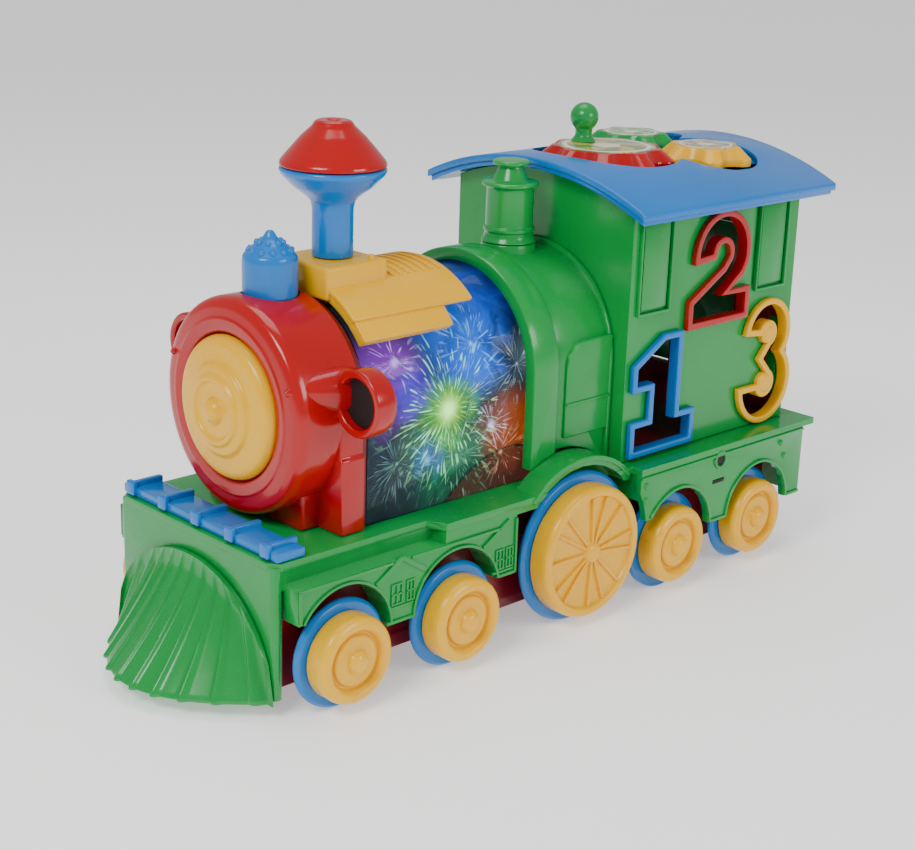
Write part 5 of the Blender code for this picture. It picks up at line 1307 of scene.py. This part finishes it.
def make_roof():
    blue = FINISHES["blue"]
    sheet = slab(roof_band(0, 0.0030, ROOF_HALF), "YZ", -0.1539, -0.0207, 0.0008, 3)
    lip = slab(roof_band(0.0025, 0.0052, ROOF_HALF - 0.0014), "YZ", -0.1525, -0.0221, 0.0006, 2)
    cutter = slab(well_outline(0.0018), "XY", 0.1815, 0.2000)
    lip_cutter = slab(well_outline(0.0030), "XY", 0.1600, 0.2000)
    sheet = combined(sheet, copied(cutter, Matrix.Identity(4)), "DIFFERENCE")
    lip = combined(lip, lip_cutter, "DIFFERENCE")
    below = roof_band(0.0012, 0.0300, ROOF_HALF - 0.0030)
    tub = slab(well_outline(0.0038), "XY", 0.1795, 0.2000)
    tub = combined(tub, slab(below, "YZ", -0.1530, -0.0215), "INTERSECT")
    tub = combined(tub, cutter, "DIFFERENCE")
    finish_piece("roof_body", gathered(sheet, lip, tub), blue, replaces=["roof"])
    pegs = [rod((where.x, where.y, 0.1812), 0.0062, 0.0040, "Z", 32) for where in GEARS.values()]
    finish_piece("gear_pegs", gathered(*pegs), blue)


def make_gear(name):
    """A chunky lobed gear whose lobes slope up to its round printed label."""
    where = GEARS[name]
    lobes = gear_lobes(name)
    label = 0.0218 if name == "red" else 0.0133
    turn = 0.0
    if name != "red":
        red = GEARS["red"]
        towards = math.atan2(where.y - red.y, where.x - red.x)
        turn = towards + math.pi + (math.pi + RED_LOBES * towards) / lobes
    steps = lobes * 28
    bm = bmesh.new()
    bottom = 0.1821
    bmesh.ops.create_circle(bm, cap_ends=True, segments=steps, radius=1)
    bmesh.ops.translate(bm, vec=(0, 0, bottom), verts=bm.verts)
    layers = ((0.1821, 0.0), (0.1846, 0.0), (0.1852, 0.04), (0.1893, 0.80), (0.1899, 0.90),
              (0.1900, 1.02))
    angles = {}
    for vert in bm.verts:
        angles[vert] = math.atan2(vert.co.y, vert.co.x)

    def shaped(vert, angle, height, blend):
        wave = math.cos(lobes * (angle - turn))
        wave = math.copysign(abs(wave) ** 0.62, wave)
        reach = LOBE_PITCH * lobes - LOBE_CLEARANCE + LOBE_DEPTH * wave
        rim = label + 0.0010 + 0.0011 * wave
        reach += (rim - reach) * blend
        vert.co = Vector((reach * math.cos(angle), reach * math.sin(angle), height))

    for vert, angle in angles.items():
        shaped(vert, angle, bottom, 0.0)
    face = bm.faces[:]
    for height, blend in layers[1:]:
        raised = bmesh.ops.extrude_face_region(
            bm, geom=face, use_keep_orig=len(bm.faces) == 1)
        moved = [item for item in raised["geom"] if isinstance(item, bmesh.types.BMVert)]
        face = [item for item in raised["geom"] if isinstance(item, bmesh.types.BMFace)]
        for vert in moved:
            shaped(vert, math.atan2(vert.co.y, vert.co.x), height, blend)
    bmesh.ops.recalc_face_normals(bm, faces=bm.faces)
    bm = combined(bm, rod((0, 0, 0.1800), 0.0086, 0.0046, "Z", 48), "DIFFERENCE")
    body = {"red": "crank_gear", "yellow": "yellow_gear", "green": "green_gear"}[name]
    bmesh.ops.translate(bm, vec=(where.x, where.y, 0), verts=bm.verts)
    finish_piece(f"gear_{name}_body", bm, FINISHES[name], body, [f"gear_{name}"], angle=30)
    disc = lathe([(0, 0.19015), (label - 0.0004, 0.19015), (label, 0.1901), (label, 0.18985),
                  (0, 0.18985)], "Z", (where.x, where.y, 0), 96)
    finish_piece(f"gear_{name}_label", disc, FINISHES[f"print_{name}"], body)


def make_knob():
    low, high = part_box("crank_knob")
    centre = (low + high) / 2 - DATUM
    ball_z, ball = 0.2010, 0.0064
    curve = arc((0, ball_z), ball, 90, -50, 24)
    profile = [(max(r, 0), z) for r, z in curve]
    profile[0] = (0, ball_z + ball)
    profile += rounded([profile[-1], (0.0038, 0.1950), (0.0038, 0.1926), (0.0050, 0.1912),
                        (0.0056, 0.1903)], 0.0008, 3)[1:]
    profile += [(0.0026, 0.1903), (0.0026, 0.1874), (0, 0.1874)]
    finish_piece("crank_knob_body", lathe(profile, "Z", (centre.x, centre.y, 0), 72),
                 FINISHES["green"], "crank_gear", ["crank_knob"])


# ------------------------------------------------------------------ underside and insides
def make_underside():
    tray = finish_piece("undertray_body", node_copy("undertray"), FINISHES["dark_red"],
                        replaces=["undertray"])
    round_edges(tray, sizes().edge)
    for node, finish in (
        ("battery_door", "dark_red"), ("battery_door_screw", "steel"), ("battery_1", "wrapper"),
        ("battery_2", "wrapper"), ("battery_3", "wrapper"), ("circuit_board", "circuit"),
        ("speaker", "black"), ("motor", "steel"), ("motor_pinion", "steel"),
        ("power_switch", "black"),
    ):
        dress_node(node, FINISHES[finish])


# ------------------------------------------------------------------ stage
CAMERA_PLACE = Vector((0.52509, 0.52611, 0.31100))
CAMERA_RIGHT = Vector((-0.72627, 0.68673, 0.03059))
CAMERA_UP = Vector((-0.18899, -0.24227, 0.95162))
CAMERA_LENS = 69.78


def soft_light(name, place, target, size, power, colour=(1, 1, 1)):
    lamp = bpy.data.lights.new(name, "AREA")
    lamp.shape = "RECTANGLE"
    lamp.size, lamp.size_y = size
    lamp.energy = power
    lamp.color = colour
    holder = bpy.data.objects.new(name, lamp)
    holder.location = place
    way = Vector(target) - Vector(place)
    holder.rotation_euler = way.to_track_quat("-Z", "Y").to_euler()
    bpy.context.scene.collection.objects.link(holder)
    return holder


def make_stage():
    bm = bmesh.new()
    bmesh.ops.create_grid(bm, x_segments=1, y_segments=1, size=6)
    mesh = bpy.data.meshes.new("floor")
    bm.to_mesh(mesh)
    bm.free()
    floor = bpy.data.objects.new("floor", mesh)
    bpy.context.scene.collection.objects.link(floor)
    pale = bpy.data.materials.new("pale floor")
    pale.use_nodes = True
    shader = pale.node_tree.nodes["Principled BSDF"]
    shader.inputs["Base Color"].default_value = (0.93, 0.93, 0.93, 1)
    shader.inputs["Roughness"].default_value = 0.75
    shader.inputs["Specular IOR Level"].default_value = 0.2
    shader.inputs["Emission Color"].default_value = (1, 1, 1, 1)
    shader.inputs["Emission Strength"].default_value = 0.45
    mesh.materials.append(pale)

    camera = bpy.data.cameras.new("camera")
    camera.lens = CAMERA_LENS
    camera.sensor_width = 36
    camera.clip_start = 0.02
    holder = bpy.data.objects.new("camera", camera)
    back = CAMERA_RIGHT.cross(CAMERA_UP)
    turn = Matrix((CAMERA_RIGHT, CAMERA_UP, back)).transposed().to_4x4()
    holder.matrix_world = Matrix.Translation(CAMERA_PLACE + DATUM) @ turn
    bpy.context.scene.collection.objects.link(holder)
    bpy.context.scene.camera = holder

    world = bpy.data.worlds.new("studio")
    world.use_nodes = True
    world.node_tree.nodes["Background"].inputs[0].default_value = (1, 1, 1, 1)
    world.node_tree.nodes["Background"].inputs[1].default_value = 0.50
    bpy.context.scene.world = world
    soft_light("key light", (0.9, 0.25, 0.95), (0, 0, 0.1), (0.5, 0.4), 9)
    soft_light("side light", (-0.35, 1.2, 0.60), (0, 0, 0.1), (0.6, 0.4), 6)
    soft_light("top light", (-0.1, -0.2, 1.2), (0, 0, 0.1), (0.7, 0.7), 5)


# ------------------------------------------------------------------ operators
class ToyTrainOperator:
    bl_options = {"REGISTER", "UNDO"}


class BuildFinishes(ToyTrainOperator, bpy.types.Operator):
    """Mix the plastics, films and metals of the engine"""

    bl_idname = "toy_train.finishes"
    bl_label = "Finishes"

    def execute(self, context):
        FINISHES.update(make_finishes())
        return {"FINISHED"}


class BuildChassis(ToyTrainOperator, bpy.types.Operator):
    """Build the green chassis with its side mouldings, the plough and the step"""

    bl_idname = "toy_train.chassis"
    bl_label = "Chassis, cowcatcher and step"

    def execute(self, context):
        make_chassis()
        make_cowcatcher()
        make_step()
        return {"FINISHED"}


class BuildWheels(ToyTrainOperator, bpy.types.Operator):
    """Build the yellow wheels and their blue flanged sleeves"""

    bl_idname = "toy_train.wheels"
    bl_label = "Wheels"

    def execute(self, context):
        make_wheels()
        return {"FINISHED"}


class BuildSmokebox(ToyTrainOperator, bpy.types.Operator):
    """Build the red smokebox, its horns, its yellow door and the blue button"""

    bl_idname = "toy_train.smokebox"
    bl_label = "Smokebox"

    def execute(self, context):
        make_smokebox()
        return {"FINISHED"}


class BuildChimney(ToyTrainOperator, bpy.types.Operator):
    """Build the yellow saddle with the blue funnel and its red cap"""

    bl_idname = "toy_train.chimney"
    bl_label = "Saddle and chimney"

    def execute(self, context):
        make_saddle()
        make_chimney()
        return {"FINISHED"}


class BuildBoiler(ToyTrainOperator, bpy.types.Operator):
    """Build the clear window, its light film, the green boiler and the steam dome"""

    bl_idname = "toy_train.boiler"
    bl_label = "Boiler"

    def execute(self, context):
        make_boiler()
        return {"FINISHED"}


class BuildCab(ToyTrainOperator, bpy.types.Operator):
    """Build the cab, its digit frames, the bin and the rear door"""

    bl_idname = "toy_train.cab"
    bl_label = "Cab"

    def execute(self, context):
        make_cab()
        return {"FINISHED"}


class BuildRoof(ToyTrainOperator, bpy.types.Operator):
    """Build the blue roof, its three gears and the crank knob"""

    bl_idname = "toy_train.roof"
    bl_label = "Roof and gears"

    def execute(self, context):
        make_roof()
        for name in GEARS:
            make_gear(name)
        make_knob()
        return {"FINISHED"}


class BuildUnderside(ToyTrainOperator, bpy.types.Operator):
    """Build the undertray and dress the pieces inside it"""

    bl_idname = "toy_train.underside"
    bl_label = "Underside"

    def execute(self, context):
        make_underside()
        return {"FINISHED"}


class BuildStage(ToyTrainOperator, bpy.types.Operator):
    """Set the pale floor, the soft lights and the camera"""

    bl_idname = "toy_train.stage"
    bl_label = "Stage"

    def execute(self, context):
        make_stage()
        return {"FINISHED"}


OPERATORS = (
    BuildFinishes, BuildChassis, BuildWheels, BuildSmokebox, BuildChimney, BuildBoiler,
    BuildCab, BuildRoof, BuildUnderside, BuildStage,
)


class ToyTrainPanel(bpy.types.Panel):
    """Lists the engine's sizes, colours and building steps"""

    bl_idname = "VIEW3D_PT_toy_train"
    bl_label = "Toy Train"
    bl_space_type = "VIEW_3D"
    bl_region_type = "UI"
    bl_category = "Toy Train"

    def draw(self, context):
        layout = self.layout
        for group in (context.scene.toy_train_sizes, context.scene.toy_train_colours):
            box = layout.box()
            for name in group.__annotations__:
                box.prop(group, name)
        for operator in OPERATORS:
            layout.operator(operator.bl_idname)


CLASSES = (ToyTrainSizes, ToyTrainColours, *OPERATORS, ToyTrainPanel)


def register():
    for each in CLASSES:
        bpy.utils.register_class(each)
    bpy.types.Scene.toy_train_sizes = PointerProperty(type=ToyTrainSizes)
    bpy.types.Scene.toy_train_colours = PointerProperty(type=ToyTrainColours)


def unregister():
    del bpy.types.Scene.toy_train_colours
    del bpy.types.Scene.toy_train_sizes
    for each in reversed(CLASSES):
        bpy.utils.unregister_class(each)


def main():
    register()
    bpy.ops.toy_train.finishes()
    bpy.ops.toy_train.chassis()
    bpy.ops.toy_train.wheels()
    bpy.ops.toy_train.smokebox()
    bpy.ops.toy_train.chimney()
    bpy.ops.toy_train.boiler()
    bpy.ops.toy_train.cab()
    bpy.ops.toy_train.roof()
    bpy.ops.toy_train.underside()
    bpy.ops.toy_train.stage()


if __name__ == "__main__":
    main()
